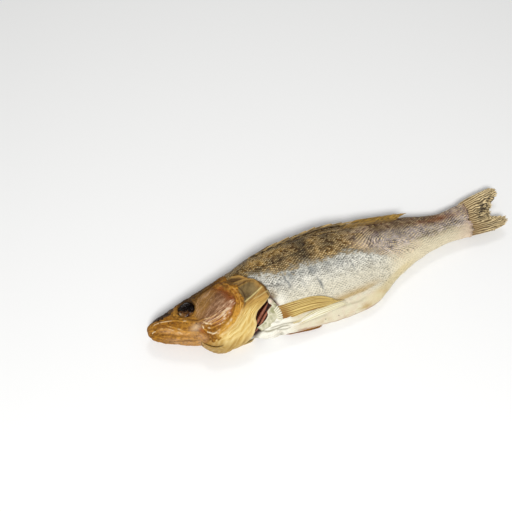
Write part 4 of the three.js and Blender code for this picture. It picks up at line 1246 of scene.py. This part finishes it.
def makeGillCover(name, side, material):
    # a sheet from the cheek to the ragged free edge: its stand-off grows with a power of the share of
    # the way to the edge, and the throat part hangs down in a half sine
    degrees = np.linspace(cover["from"], cover["to"], cover["rows"])[:, None]
    share = np.linspace(0, 1, cover["columns"])[None, :]
    ragged = 0.9 * (clouds(degrees / 5, 0 * degrees, 91) - 0.5) * ramp(share, 0.5, 1)
    x = coverRoot(degrees) + (coverEdge(degrees) + ragged - coverRoot(degrees)) * share
    turn = side * np.radians(np.broadcast_to(degrees, x.shape))
    relief, masks = coverFeatures(x, skinPoint(x, turn)[..., 1], degrees, share)
    if side < 0:
        relief = cover["rightRelief"] * relief
    lift = cover["lift"] if side > 0 else cover["rightLift"]
    throat = ramp(degrees, 150, 185) * cover["throatDrop"] * np.sin(np.pi * share)
    standOff = lift * share**1.5 + throat + cover["clearance"]
    outer = skinPoint(x, turn, standOff + relief)
    inner = skinPoint(x, turn, standOff + relief * 0.6 - cover["thickness"] - 0.5 * (1 - share))
    if side < 0:
        rooted = cover["thickness"] + cover["rightRoot"] * (1 - ramp(share, 0, 0.1))
        inner[..., 2] = np.maximum(inner[..., 2], outer[..., 2] + rooted)
    makeShell(name, outer, inner, material, masks)


def makeCoverMaterial():
    # brown bone with golden streaks above; below, cream membrane whose folds' crests get a painted
    # highlight, with painted shade between the folds and on the throat's underside; the dark patch and the
    # ring of the cover's spot between bone and membrane
    material, tree, shader, drying = newSkin("coverSkin", 120.0, 1100.0)
    tones = cover["tones"]
    specks = useGroup(tree, darkSpecks, Scale=260.0, Share=0.06)
    skin = blend(tree, drying["Cloud"], tones["skin"], tones["pale"])
    skin = blend(tree, crestOf(tree, "streak", 0.35, 0.9, 0.75), skin, tones["crest"])
    skin = layTints(tree, skin, tones, [("membrane", 0.85, "cream")])
    # painted highlight on the crests of the membrane
    skin = blend(tree, crestOf(tree, "ray", 0.25, 0.85, 0.85), skin, tones["rayCrest"])
    # painted shade between the membrane's crests; orange near the root
    skin = layTints(tree, skin, tones, [("between", 0.4, "skin"), ("front", 0.4, "orange")])
    patch = blend(tree, drying["Cloud"], tones["patchDark"], tones["patch"])
    skin = blend(tree, partOf(tree, "patch", 0.9), skin, patch)
    skin = layTints(tree, skin, tones, [("ring", 0.7, "patchDark"), ("rootLine", 0.75, "brown")])
    nape = blend(tree, crestOf(tree, "napeCrest", 0.3, 0.9), tones["brown"], tones["gold"])
    skin = blend(tree, partOf(tree, "top", 0.95), skin, nape)
    # the dark top line, golden strips and struts, the pale edge, and painted shade on the throat's underside
    skin = layTints(tree, skin, tones, [
        ("topLine", 0.8, "brown"), ("strip", 0.85, "crest"), ("ridge", 0.8, "strut"), ("edge", 0.5, "edge"),
        ("throatUnderShade", 0.5, "skin")])
    skin = blend(tree, times(tree, specks["Speck"], 0.6), skin, tones["line"])
    shader.inputs["Specular IOR Level"].default_value = 0.2
    shader.inputs["Coat Roughness"].default_value = 0.15
    tree.links.new(crestOf(tree, "ray", 0.4, 0.9, 0.3), shader.inputs["Coat Weight"])
    finishSkin(tree, shader, skin, drying["Cloud"], (0.3, 0.5), drying["Grain"], 0.6, 0.0005)
    return material


coverSkin = makeCoverMaterial()
makeGillCover("gillCoverLeft", 1, coverSkin)
makeGillCover("gillCoverRight", -1, coverSkin)

# gills inside the slit
gills = {
    "line": [(113.5, -17.5), (108.5, -21.8), (103, -26), (97.5, -30.5), (92, -33.5)],
    "arches": [(-1.6, 3.6, 1.5), (2.0, 2.6, 1.3)],  # offset across the slit, depth under the skin, thickness
    "rows": 150, "columns": 26, "filaments": 46,
    # dark is the painted shade between the filaments, pale the painted highlight on their outward side
    "tones": {"dark": "34120a", "red": "8e4628", "pale": "b4795c"},
}


def makeGillArch(name, side, offset, depth, thickness, material):
    # a rod along the slit whose radius is a half sine, ribbed by the filaments' faster sine
    xs, ys = np.array(gills["line"], float).T
    along = np.linspace(0, 1, gills["rows"])
    knots = np.linspace(0, 1, len(xs))
    px, py = smoothLine(list(zip(knots, xs)))(along), smoothLine(list(zip(knots, ys)))(along)
    dx, dy = np.gradient(px), np.gradient(py)
    length = np.hypot(dx, dy)
    ax, ay = -dy / length, dx / length  # across the slit
    swell = np.sin(np.pi * np.clip(along, 0.02, 0.98)) ** 0.6
    ribs = np.abs(np.sin(np.pi * gills["filaments"] * along)) ** 0.7
    turn = np.linspace(0, 2 * np.pi, gills["columns"], endpoint=False)
    radius = thickness * swell[:, None] * (0.82 + 0.3 * ribs[:, None] * (np.sin(turn[None, :]) > -0.2))
    cx, cy = px + offset * ax, py + offset * ay
    base = onFlank(cx, cy, side, -depth)
    across = radius * np.cos(turn)[None, :]
    rings = np.stack([base[:, None, 0] + across * ax[:, None], base[:, None, 1] + across * ay[:, None],
                      base[:, None, 2] + side * radius * np.sin(turn)[None, :] * 1.3], -1)
    rings[..., 2] = np.maximum(rings[..., 2], 0.3)
    # the outward side of the rod, which gets a painted highlight
    crest = clamp(np.sin(turn))[None, :]
    values = {"rib": np.broadcast_to(ribs[:, None], radius.shape),
              "crest": np.broadcast_to(crest, radius.shape)}
    makeTube(name, rings, material, values)


def makeGillMaterial():
    # dark red as painted shade between the filaments, red on them, and a painted highlight on their outward
    # side
    material, tree, shader, drying = newSkin("driedGill", 200.0, 1200.0)
    tones = gills["tones"]
    skin = blend(tree, readValue(tree, "rib"), tones["dark"], tones["red"])
    skin = blend(tree, times(tree, readValue(tree, "crest"), drying["Cloud"]), skin, tones["pale"])
    finishSkin(tree, shader, skin, drying["Grain"], (0.35, 0.6))
    return material


driedGill = makeGillMaterial()
for sideName, side in (("Left", 1), ("Right", -1)):
    for number, (offset, depth, thickness) in enumerate(gills["arches"], 1):
        makeGillArch("gillArch" + sideName + str(number), side, offset, depth, thickness, driedGill)

# eyes
eyes = {
    "x": 40.2, "y": 5.2, "rows": 70, "columns": 120, "sunk": 2.4, "dome": 2.2, "thickness": 3.0,
    "folds": 1.3, "lens": {"x": 1.8, "y": 2.6, "radius": 4.8, "height": 1.5},  # from the middle
    "glintX": 34.4, "glintY": 2.4,
    # how far the dried ball reaches at each angle round its middle
    "outline": [
        (-180, 9.4), (-155, 9.4), (-135, 8.2), (-117, 8.8), (-96, 8.2), (-77, 8.8), (-51, 9.2), (-36, 8.4),
        (-23, 8.9), (0, 8.2), (13, 8.4), (40, 7.4), (59, 8.2), (89, 9.8), (110, 8.8), (126, 9.4), (150, 8.4),
        (164, 9.2), (180, 9.4),
    ],
    "tones": {"black": "060302", "brown": "341a10", "silver": "b8ac96", "amber": "845822"},
}


def makeEye(name, side, material):
    # a shrunken dome of rings about the socket's middle: height falls with the square of the radius,
    # and the dried skin over the lens is pushed up and down by wrinkles
    r = np.linspace(0.02, 1, eyes["rows"])[:, None]
    turn = np.linspace(-np.pi, np.pi, eyes["columns"], endpoint=False)[None, :]
    reach = smoothLine(eyes["outline"])(np.degrees(turn))
    x = eyes["x"] + reach * r * np.cos(turn)
    y = eyes["y"] + reach * r * np.sin(turn)
    centre = onFlank(np.array(eyes["x"]), np.array(eyes["y"]), side)
    tilt = onFlank(x, np.minimum(y, backHeight(x) - 1.5), side)[..., 2] - centre[2]
    lens = eyes["lens"]
    lensShare = np.hypot(x - eyes["x"] - lens["x"], y - eyes["y"] - lens["y"]) / lens["radius"]
    bulge = lens["height"] * clamp(1 - lensShare**2) ** 0.6
    folds = wrinkles(x / 3.2, y / 2.4, 111, 1.2)
    dome = eyes["dome"] * (1 - r**2) + bulge + eyes["folds"] * (folds - 0.4) * (1 - r**4)
    z = np.maximum(centre[2] + tilt * 0.9 + side * (dome - eyes["sunk"]), 0.4)
    top = np.stack([x, y, z], -1)
    under = np.stack([eyes["x"] + (x - eyes["x"]) * 0.8, eyes["y"] + (y - eyes["y"]) * 0.8,
                      z - side * eyes["thickness"]], -1)[::-1]
    rings = np.concatenate([top, under], 0)
    lowerFront = bell(np.hypot((x - eyes["glintX"]) / 2.0, (y - eyes["glintY"]) / 2.8), 1.0)
    lower = 1 - ramp(y + 0.42 * (x - 40) + 5 * (folds - 0.4), 0.6, 3.4)  # brown under a ragged edge
    masks = {"glint": lowerFront * folds, "iris": lower, "folds": folds}
    values = {key: np.concatenate([mask, mask[::-1]], 0) for key, mask in masks.items()}
    makeTube(name, rings, material, values)


def makeEyeMaterial():
    # black with brown folds, an amber lid under the ragged edge and a silver glint
    material, tree, shader, drying = newSkin("driedEye", 260.0, 1200.0)
    tones = eyes["tones"]
    skin = blend(tree, crestOf(tree, "folds", 0.45, 1.0, 0.35), tones["black"], tones["brown"])
    lid = blend(tree, remap(tree, drying["Cloud"], 0.25, 0.75), tones["brown"], tones["amber"])
    skin = blend(tree, partOf(tree, "iris", 0.85), skin, lid)
    skin = blend(tree, crestOf(tree, "glint", 0.15, 0.6), skin, tones["silver"])
    shader.inputs["Specular IOR Level"].default_value = 0.12
    finishSkin(tree, shader, skin, drying["Grain"], (0.12, 0.3))
    return material


driedEye = makeEyeMaterial()
makeEye("eyeLeft", 1, driedEye)
makeEye("eyeRight", -1, driedEye)

# shoulder plate and comb behind the gill slit
shoulder = {
    # front edge along the slit and rear edge where it sinks into the breast, both from the top down
    "front": [
        (0, 112.6, -14.6), (0.12, 112.4, -18.6), (0.2, 114.4, -21), (0.3, 111.4, -23), (0.42, 108.8, -24.8),
        (0.52, 108.2, -27.2), (0.75, 103.3, -31.4), (1, 95.5, -34),
    ],
    "rear": [
        (0, 115.5, -14.2), (0.15, 118.4, -19.5), (0.3, 119.0, -24), (0.5, 119.5, -29), (0.75, 116.5, -34.2),
        (1, 99, -36.5),
    ],
    "combLine": [(0, 116.8, -23.6), (0.3, 118.2, -26.6), (0.6, 118.8, -30.0), (1, 118.2, -34.2)],
    "lump": (114.7, -17.4, 2.1, 1.9),  # x, y, radius, height
    "rows": 150, "columns": 70, "thickness": 1.1, "stand": 1.5, "sink": 2.1,
    "teeth": 7, "toothRows": 16, "toothLength": 2.6,
    "combWidth": 3.0, "combColumns": 26, "combThickness": 0.8,
    "tones": {"plate": "bdb792", "deep": "84845c", "white": "e2dcc2", "lump": "ecd2c0", "gap": "60624a"},
}


def lineAt(points):
    # a smooth line through (share, x, y) places
    shares, xs, ys = zip(*points)
    return smoothLine(list(zip(shares, xs))), smoothLine(list(zip(shares, ys)))


def makeShoulderPlate(material):
    # a sheet between its front and rear lines, standing off the flank at the slit and sinking in
    # towards the breast, creased by wrinkles
    along = np.linspace(0, 1, shoulder["rows"])[:, None]
    across = np.linspace(0, 1, shoulder["columns"])[None, :]
    (frontX, frontY), (rearX, rearY) = lineAt(shoulder["front"]), lineAt(shoulder["rear"])
    sway = 0.6 * (clouds(along * 12, 0 * along, 201) - 0.5) * (1 - across)
    x = frontX(along) + sway + (rearX(along) - frontX(along)) * across
    y = frontY(along) + (rearY(along) - frontY(along)) * across
    creases = wrinkles(x / 6, (y + 0.4 * x) / 3.2, 203)
    lumpX, lumpY, radius, height = shoulder["lump"]
    lump = bell(np.hypot(x - lumpX, y - lumpY) / radius, 1.0)
    above = shoulder["stand"] - shoulder["sink"] * across**1.5
    above = above + (creases - 0.4) * (1 - 0.6 * across) + height * lump
    outer, inner = onFlank(x, y, 1, above), onFlank(x, y, 1, above - shoulder["thickness"])
    values = {"crease": creases, "lump": lump, "frontEdge": bell(across, 0.12), "gapRow": 0.0}
    makeShell("shoulderPlate", outer, inner, material, values)


def makeShoulderComb(material):
    # a strip along the comb line whose rear edge runs out in rounded teeth over the root of the fin
    along = np.linspace(0, 1, shoulder["teeth"] * shoulder["toothRows"] + 1)[:, None]
    across = np.linspace(0, 1, shoulder["combColumns"])[None, :]
    lineX, lineY = lineAt(shoulder["combLine"])
    x, y = lineX(along), lineY(along)
    dx, dy = np.gradient(x, axis=0), np.gradient(y, axis=0)
    length = np.hypot(dx, dy)
    tooth = np.abs(np.sin(np.pi * shoulder["teeth"] * along)) ** 0.6
    reach = -shoulder["combWidth"] + (shoulder["combWidth"] + shoulder["toothLength"] * tooth) * across
    x, y = x - dy / length * reach, y + dx / length * reach
    above = 0.2 + 1.5 * across**0.7 + 0.5 * tooth * across - 0.5 * (1 - tooth) * across
    values = {"crease": tooth, "lump": 0.0, "frontEdge": across**3,
              "gapRow": (1 - ramp(tooth, 0.2, 0.75)) * ramp(across, 0.3, 0.6)}
    inner = onFlank(x, y, 1, above - shoulder["combThickness"])
    makeShell("shoulderComb", onFlank(x, y, 1, above), inner, material, values)


def makeShoulderMaterial():
    # greenish bone, white on its creases and front edge, pink on the lump, dark between the teeth
    material, tree, shader, drying = newSkin("shoulderSkin", 150.0, 1100.0)
    tones = shoulder["tones"]
    skin = blend(tree, drying["Cloud"], tones["deep"], tones["plate"])
    skin = blend(tree, crestOf(tree, "crease", 0.25, 0.8, 0.8), skin, tones["white"])
    skin = layTints(tree, skin, tones, [
        ("frontEdge", 0.7, "white"), ("lump", 0.9, "lump"), ("gapRow", 0.8, "gap")])
    finishSkin(tree, shader, skin, drying["Grain"], (0.35, 0.6), drying["Grain"])
    return material


shoulderSkin = makeShoulderMaterial()
makeShoulderPlate(shoulderSkin)
makeShoulderComb(shoulderSkin)

# fins
fins = {
    "pectoral": {"rays": 9, "steps": 100, "perRay": 14, "thick": 0.6, "thin": 0.3, "notch": 0.05,
                 "fray": 0.06, "bend": 0.8, "bends": 2.0, "splitFrom": 0.6,
                 "upper": [(118, -23), (130.6, -22.8), (141.5, -22.8), (152, -23.2), (165, -26.2),
                           (174.4, -30.6), (186, -33)],
                 "lower": [(118, -33.3), (129.6, -34.4), (141, -33.6), (151.7, -33.6), (166.3, -33.8),
                           (181, -33.5), (190, -34)]},
    "pelvic": {"rays": 5, "steps": 90, "perRay": 16, "thick": 0.6, "thin": 0.25, "notch": 0.06,
               "fray": 0.05, "bend": 0.5, "bends": 2.0, "splitFrom": 0.7,
               "upper": [(128, -38.6), (133, -38.2), (143, -36.0), (153, -33.9), (168, -33.6), (190, -34.6)],
               "lower": [(128, -40.4), (140, -40.6), (155, -39.6), (172, -38.2), (190, -36.6)]},
    "spinyDorsal": {"rays": 11, "steps": 60, "perRay": 14, "thick": 1.3, "thin": 0.3, "notch": 0.15,
                    "fray": 0.1, "bend": 0.3, "bends": 2.0, "splitFrom": 2.0},
    "softDorsal": {"rays": 14, "steps": 60, "perRay": 14, "thick": 1.0, "thin": 0.3, "notch": 0.03,
                   "fray": 0.04, "bend": 0.9, "bends": 3.0, "splitFrom": 0.7},
    "anal": {"rays": 10, "steps": 46, "perRay": 11, "thick": 0.9, "thin": 0.3, "notch": 0.1,
             "fray": 0.1, "bend": 0.5, "bends": 2.0, "splitFrom": 0.6},
    "tail": {"rays": 20, "steps": 130, "perRay": 14, "thick": 1.3, "thin": 0.35, "notch": 0.05,
             "fray": 0.06, "bend": 0.5, "bends": 6.0, "splitFrom": 0.62, "upperBright": 0.5,
             "fanX": 300, "fanY": 9, "halfAngle": 17.5, "root": 334, "lean": 0.25, "spread": 1.685,
             "tipHeight": 12,
             "length": [(-17.5, 72), (-14, 80.5), (-11.6, 82.2), (-8.4, 80), (-6.7, 72.5), (-2.3, 69),
                        (-0.2, 71), (1.6, 71.5), (3.1, 75.5), (7, 78), (8.2, 83), (9.2, 88), (11.5, 89.6),
                        (15.8, 88), (17.5, 83)]},
    "blots": {"goldenFin": 0.35, "paleFin": 0.1, "rustFin": 0.3, "spinyFin": 0.4, "softFin": 0.8,
              "tailFin": 0.9},
    "rootDepth": 2.4,  # how deep the roots of the right fins sink into the skin
    "tones": {
        "goldenFin": {"web": "a4843a", "ray": "d8be76", "dark": "8a6626", "root": "8a5a0c", "tip": "b89c5e"},
        "paleFin": {"web": "d8d2ac", "ray": "efe9d0", "dark": "b5a468", "root": "c9b27a", "tip": "d2c8a0"},
        "rustFin": {"web": "84501e", "ray": "a4722e", "dark": "4a2a0e", "root": "8a4e1e", "tip": "b09462"},
        "spinyFin": {"web": "4a3618", "ray": "cbab6c", "dark": "1e140a", "root": "4f3b1c", "tip": "8c7240"},
        "softFin": {"web": "8c6820", "ray": "bc9440", "dark": "35260e", "root": "6c5020", "tip": "57421c"},
        "tailFin": {"web": "705a34", "ray": "e6ce9c", "dark": "2a1d0e", "root": "8a6c42", "tip": "66522f",
                    "rootReach": 0.55},
    },
}


def makeFin(name, part, place, ripple, material, seed):
    # rays run outwards at fixed shares of the fin's width over a surface given by place(share, way
    # out); thickness is a web plus a ridge at every ray, a squared cosine of the ray number bent by
    # clouds and of twice that where rays split; the edge is notched between rays and frayed; ripple
    # waves the sheet at right angles to itself
    columns = (part["rays"] - 1) * part["perRay"] + 1
    share = np.linspace(0, 1, columns)[:, None]
    step = np.linspace(0, 1, part["steps"])[None, :]
    phase = share * (part["rays"] - 1)
    sway = 2 * clouds(phase * 0.7, step * part["bends"], seed + 9, 2) - 1
    bent = phase + part["bend"] * sway * ramp(step, 0.05, 0.35)
    single = np.abs(np.cos(np.pi * bent)) ** 2
    double = np.abs(np.cos(2 * np.pi * (bent - 0.25))) ** 2
    split = ramp(step, part["splitFrom"], part["splitFrom"] + 0.25)
    ridge = single * (1 - split) + double * split
    edge = double if part["splitFrom"] < 1 else single
    frays = np.random.default_rng(seed).random(part["rays"] + 2)[np.round(phase).astype(int)]
    fray = part["fray"] * (frays + 0.6 * clouds(phase * 2.3, 0 * phase, seed + 2))
    t = step * (1 - part["notch"] * (1 - edge) - fray)
    share, t = np.broadcast_arrays(share, t)
    middle = place(share, t)
    normal = normalsOf(middle, False)
    normal = normal * np.sign(normal[..., 2].sum() or 1)
    wave = np.sin(2.2 * np.pi * t + 9 * share + seed)
    wave = wave + 3.2 * (clouds(t * 4 + seed, share * 5, seed + 3) - 0.5)
    middle = middle + normal * (ripple * wave * t)[..., None]
    half = (part["thin"] + (part["thick"] - part["thin"]) * ridge) * (1 - 0.5 * t) / 2
    middle[..., 2] = np.maximum(middle[..., 2], half + 0.02)
    streak = 0.5 * clouds(t * 2.2 + seed, phase * 1.3, seed + 5, 3)
    streak = streak + 0.6 * wrinkles(t * 1.6, phase * 2.3, seed + 11, 0.5)
    blot = ramp(clouds(t * 15, phase * 1.2, seed + 7), 0.48, 0.62)
    blot = blot * bell(share - 0.4, 0.26) * ramp(t, 0.3, 0.65)
    bright = 1 + part.get("upperBright", 0.0) * (1 - ramp(share, 0.15, 0.5))
    values = {"ray": ridge * (0.55 + 0.9 * streak) * bright, "along": t, "share": share, "streak": streak,
              "blot": blot}
    makeShell(name, middle + normal * half[..., None], middle - normal * half[..., None], material, values)


def makeFinMaterial(name):
    # dark web with paler streaks, bright rays, the root's colour at the base, blots and specks
    material, tree, shader, drying = newSkin(name, 150.0, 1000.0)
    tones = fins["tones"][name]
    specks = useGroup(tree, darkSpecks, Scale=240.0, Share=0.12)
    along = readValue(tree, "along")
    skin = blend(tree, crestOf(tree, "streak", 0.3, 0.65), tones["dark"], tones["web"])
    skin = blend(tree, times(tree, remap(tree, along, 0.6, 1.0), 0.5), skin, tones["tip"])
    skin = blend(tree, crestOf(tree, "ray", 0.3, 0.85), skin, tones["ray"])
    nearRoot = remap(tree, along, 0.08, tones.get("rootReach", 0.2), 0.95, 0.0)
    lowRoot = remap(tree, readValue(tree, "share"), 0.15, 0.75, 0.5, 1.0)
    skin = blend(tree, times(tree, nearRoot, lowRoot), skin, tones["root"])
    skin = layTints(tree, skin, tones, [("blot", fins["blots"][name], "dark")])
    skin = blend(tree, times(tree, specks["Speck"], 0.5), skin, tones["dark"])
    finishSkin(tree, shader, skin, drying["Grain"], (0.35, 0.6), drying["Grain"], 0.4, 0.0002)
    return material


def overFlank(part, side, startX, endX, lean, above):
    # a fin pressed on the flank: between its upper and lower outlines, the rays' ends leaning by the
    # share of the width, the height over the skin growing with the way out
    upper, lower = smoothLine(part["upper"]), smoothLine(part["lower"])

    def place(share, t):
        # x goes straight to the tip; a half sine bows the sheet and an S-curve sinks the right roots
        x = startX + 2 * share + t * (endX + lean * share - startX)
        y = upper(x) + (lower(x) - upper(x)) * share
        bow = np.sin(np.pi * share) * (1 - 0.5 * t)
        rooted = fins["rootDepth"] * (1 - ramp(t, 0, 0.09 + 0.04 * np.cos(8 * share))) * (side < 0)
        return onFlank(x, y, side, above[0] + (above[1] - above[0]) * t + 0.8 * bow - rooted)

    return place


def straight(base, tip, rise=0.0):
    # a fin whose rays are straight from base(share) to tip(share), their roots bent up by the rise
    def place(share, t):
        # the way from base to tip times t, lifted near the base by an S-curve
        bent = rise * (1 - ramp(t, 0, 0.13 + 0.04 * np.cos(8 * share)))
        return base(share) + (tip(share) - base(share)) * t[..., None] + spot(0 * t, 0, bent)

    return place


def alongBack(startX, width, rayLength, baseDrop, tipRise):
    # a fin folded down along the back: rays start baseDrop under the back edge and end tipRise over it,
    # as high as the skin just inside the edge
    def place(share, t):
        # y climbs from the drop to the rise with a power of t
        x = startX + width * share + rayLength * t
        drop, rise = baseDrop(share), tipRise(share)
        y = backHeight(x) - drop + (drop + rise) * t**0.8
        height = onFlank(x, np.minimum(y, backHeight(x) - 2.2), 1, 0.5)[..., 2]
        return np.stack([x, y, height], -1)

    return place


def spot(x, y, z):
    # coordinates that may be arrays, stacked into points
    return np.stack(np.broadcast_arrays(np.asarray(x, float), y, z), -1)


def belowBelly(x, above, drop):
    # a place over the belly's outline and under its edge's height
    return spot(x, above - bellyDepth(x), bellyEdgeHeight(x) - drop)


def tailPlace():
    # rays fan out from a point inside the body, their length a line over the fan's angle
    part = fins["tail"]
    lengthAt = smoothLine(part["length"])

    def base(share):
        # on a leaning line behind the body, spread by the tangent of the ray's angle
        rise = part["spread"] * np.tan(np.radians(part["halfAngle"] * (1 - 2 * share))) * 35
        y = part["fanY"] + rise
        return spot(part["root"] + part["lean"] * y, y, middleHeight(part["root"]))

    def tip(share):
        # the fan's point plus the length at the ray's angle
        angle = np.radians(part["halfAngle"] * (1 - 2 * share))
        reach = lengthAt(np.degrees(angle))
        height = part["tipHeight"] + 3 * np.sin(9 * share)
        return spot(part["fanX"] + reach * np.cos(angle), part["fanY"] + reach * np.sin(angle), height)

    def place(share, t):
        # straight rays plus a flare of t times 1 - t and crinkles from clouds
        flare = (1.2 - 2.4 * share) * 4 * t * (1 - t)
        crinkle = (clouds(t * 14, share * 16, 181, 2) - 0.5) * ramp(t, 0.25, 0.6) * (1 - ramp(t, 0.92, 1.0))
        crinkle = crinkle * (0.25 + bell(share - 0.36, 0.24))
        shift = spot(0 * t, flare + 1.4 * crinkle, 2.6 * crinkle)
        return base(share) + (tip(share) - base(share)) * t[..., None] + shift

    return place


finSkins = {name: makeFinMaterial(name) for name in fins["tones"]}
pectoral, pelvic = fins["pectoral"], fins["pelvic"]
makeFin("pectoralLeft", pectoral, overFlank(pectoral, 1, 118.5, 176, 8, (0.3, 1.2)), 0.35,
        finSkins["goldenFin"], 121)
makeFin("pectoralRight", pectoral, overFlank(pectoral, -1, 118.5, 172, 8, (0.3, 0.8)), 0.3,
        finSkins["goldenFin"], 123)
makeFin("pelvicLeft", pelvic, overFlank(pelvic, 1, 128.5, 187, -2, (0.2, 0.8)), 0.3, finSkins["paleFin"], 131)
makeFin("pelvicRight", pelvic,
        straight(lambda f: spot(121 + 0 * f, -35 - 7.5 * f, 1.7 + 4.3 * f),
                 lambda f: spot(163 - 6 * f, -41 - 5.6 * f, 2.1 + 1.9 * f), fins["rootDepth"]),
        0.4, finSkins["rustFin"], 137)
makeFin("spinyDorsalFin", fins["spinyDorsal"],
        alongBack(111, 96, 27, lambda f: 3.8 + 0.8 * f, lambda f: 0.5 + 0.3 * np.sin(40 * f)),
        0.2, finSkins["spinyFin"], 141)
makeFin("softDorsalFin", fins["softDorsal"],
        alongBack(207, 55, 21, lambda f: 10.5 - 3.4 * f**0.7, lambda f: 0.9 + 4.4 * f - 1.6 * f**2),
        0.25, finSkins["softFin"], 151)
makeFin("analFin", fins["anal"],
        straight(lambda f: belowBelly(222 + 44 * f, 2.5, 1), lambda f: belowBelly(240 + 44 * f, 1, 6)),
        0.4, finSkins["paleFin"], 161)
makeFin("tailFin", fins["tail"], tailPlace(), 0.8, finSkins["tailFin"], 171)

# floor, light and camera
studio = {
    "floorHalf": 3.0, "floor": "f6f6f5", "world": 0.32,
    "keyAt": (-0.45, -0.95, 1.35), "keySize": 0.5, "keyPower": 23.0,
    "gleamAt": (0.2, 0.65, 1.3), "gleamSize": 0.35, "gleamPower": 2.5,
}


def makeFloor():
    # a pale matt square under the fish
    material = bpy.data.materials.new("paleFloor")
    material.use_nodes = True
    shader = material.node_tree.nodes["Principled BSDF"]
    shader.inputs["Base Color"].default_value = tone(studio["floor"])
    shader.inputs["Roughness"].default_value = 0.9
    half = studio["floorHalf"]
    mesh = bpy.data.meshes.new("floor")
    corners = [(-half, -half, 0), (half, -half, 0), (half, half, 0), (-half, half, 0)]
    mesh.from_pydata(corners, [], [(0, 1, 2, 3)])
    mesh.materials.append(material)
    floor = bpy.data.objects.new("floor", mesh)
    bpy.context.scene.collection.objects.link(floor)


def aimAt(thing, position, target):
    # the object's own -Z looks at the target, its Y stays as upright as it can
    thing.location = position
    thing.rotation_euler = (Vector(target) - Vector(position)).to_track_quat("-Z", "Y").to_euler()


def addSoftLight(name, position, size, power):
    # a round lamp that looks at the fish; a wider one casts softer shadows
    light = bpy.data.lights.new(name, "AREA")
    light.shape = "DISK"
    light.size = size
    light.energy = power
    lamp = bpy.data.objects.new(name, light)
    bpy.context.scene.collection.objects.link(lamp)
    aimAt(lamp, position, (0, 0, 0))


cameraView = {
    "azimuth": -20.23, "elevation": 62.0, "distance": 0.6, "lens": 42.19, "aim": (-0.070, 0.045, 0.008),
}


def addCamera():
    # on a sphere about the aim: azimuth from the belly side towards the tail, elevation from level
    a, e = math.radians(cameraView["azimuth"]), math.radians(cameraView["elevation"])
    backward = np.array([math.sin(a) * math.cos(e), -math.cos(a) * math.cos(e), math.sin(e)])
    data = bpy.data.cameras.new("camera")
    data.lens = cameraView["lens"]
    data.sensor_width = 36.0
    data.clip_start = 0.01
    camera = bpy.data.objects.new("camera", data)
    bpy.context.scene.collection.objects.link(camera)
    aimAt(camera, np.array(cameraView["aim"]) + cameraView["distance"] * backward, cameraView["aim"])
    bpy.context.scene.camera = camera


makeFloor()
addSoftLight("keyLight", studio["keyAt"], studio["keySize"], studio["keyPower"])
addSoftLight("gleamLight", studio["gleamAt"], studio["gleamSize"], studio["gleamPower"])
world = bpy.data.worlds.new("studio")
world.use_nodes = True
world.node_tree.nodes["Background"].inputs["Color"].default_value = (1, 1, 1, 1)
world.node_tree.nodes["Background"].inputs["Strength"].default_value = studio["world"]
bpy.context.scene.world = world
bpy.context.scene.view_settings.view_transform = "Standard"
addCamera()
print("stage ready")
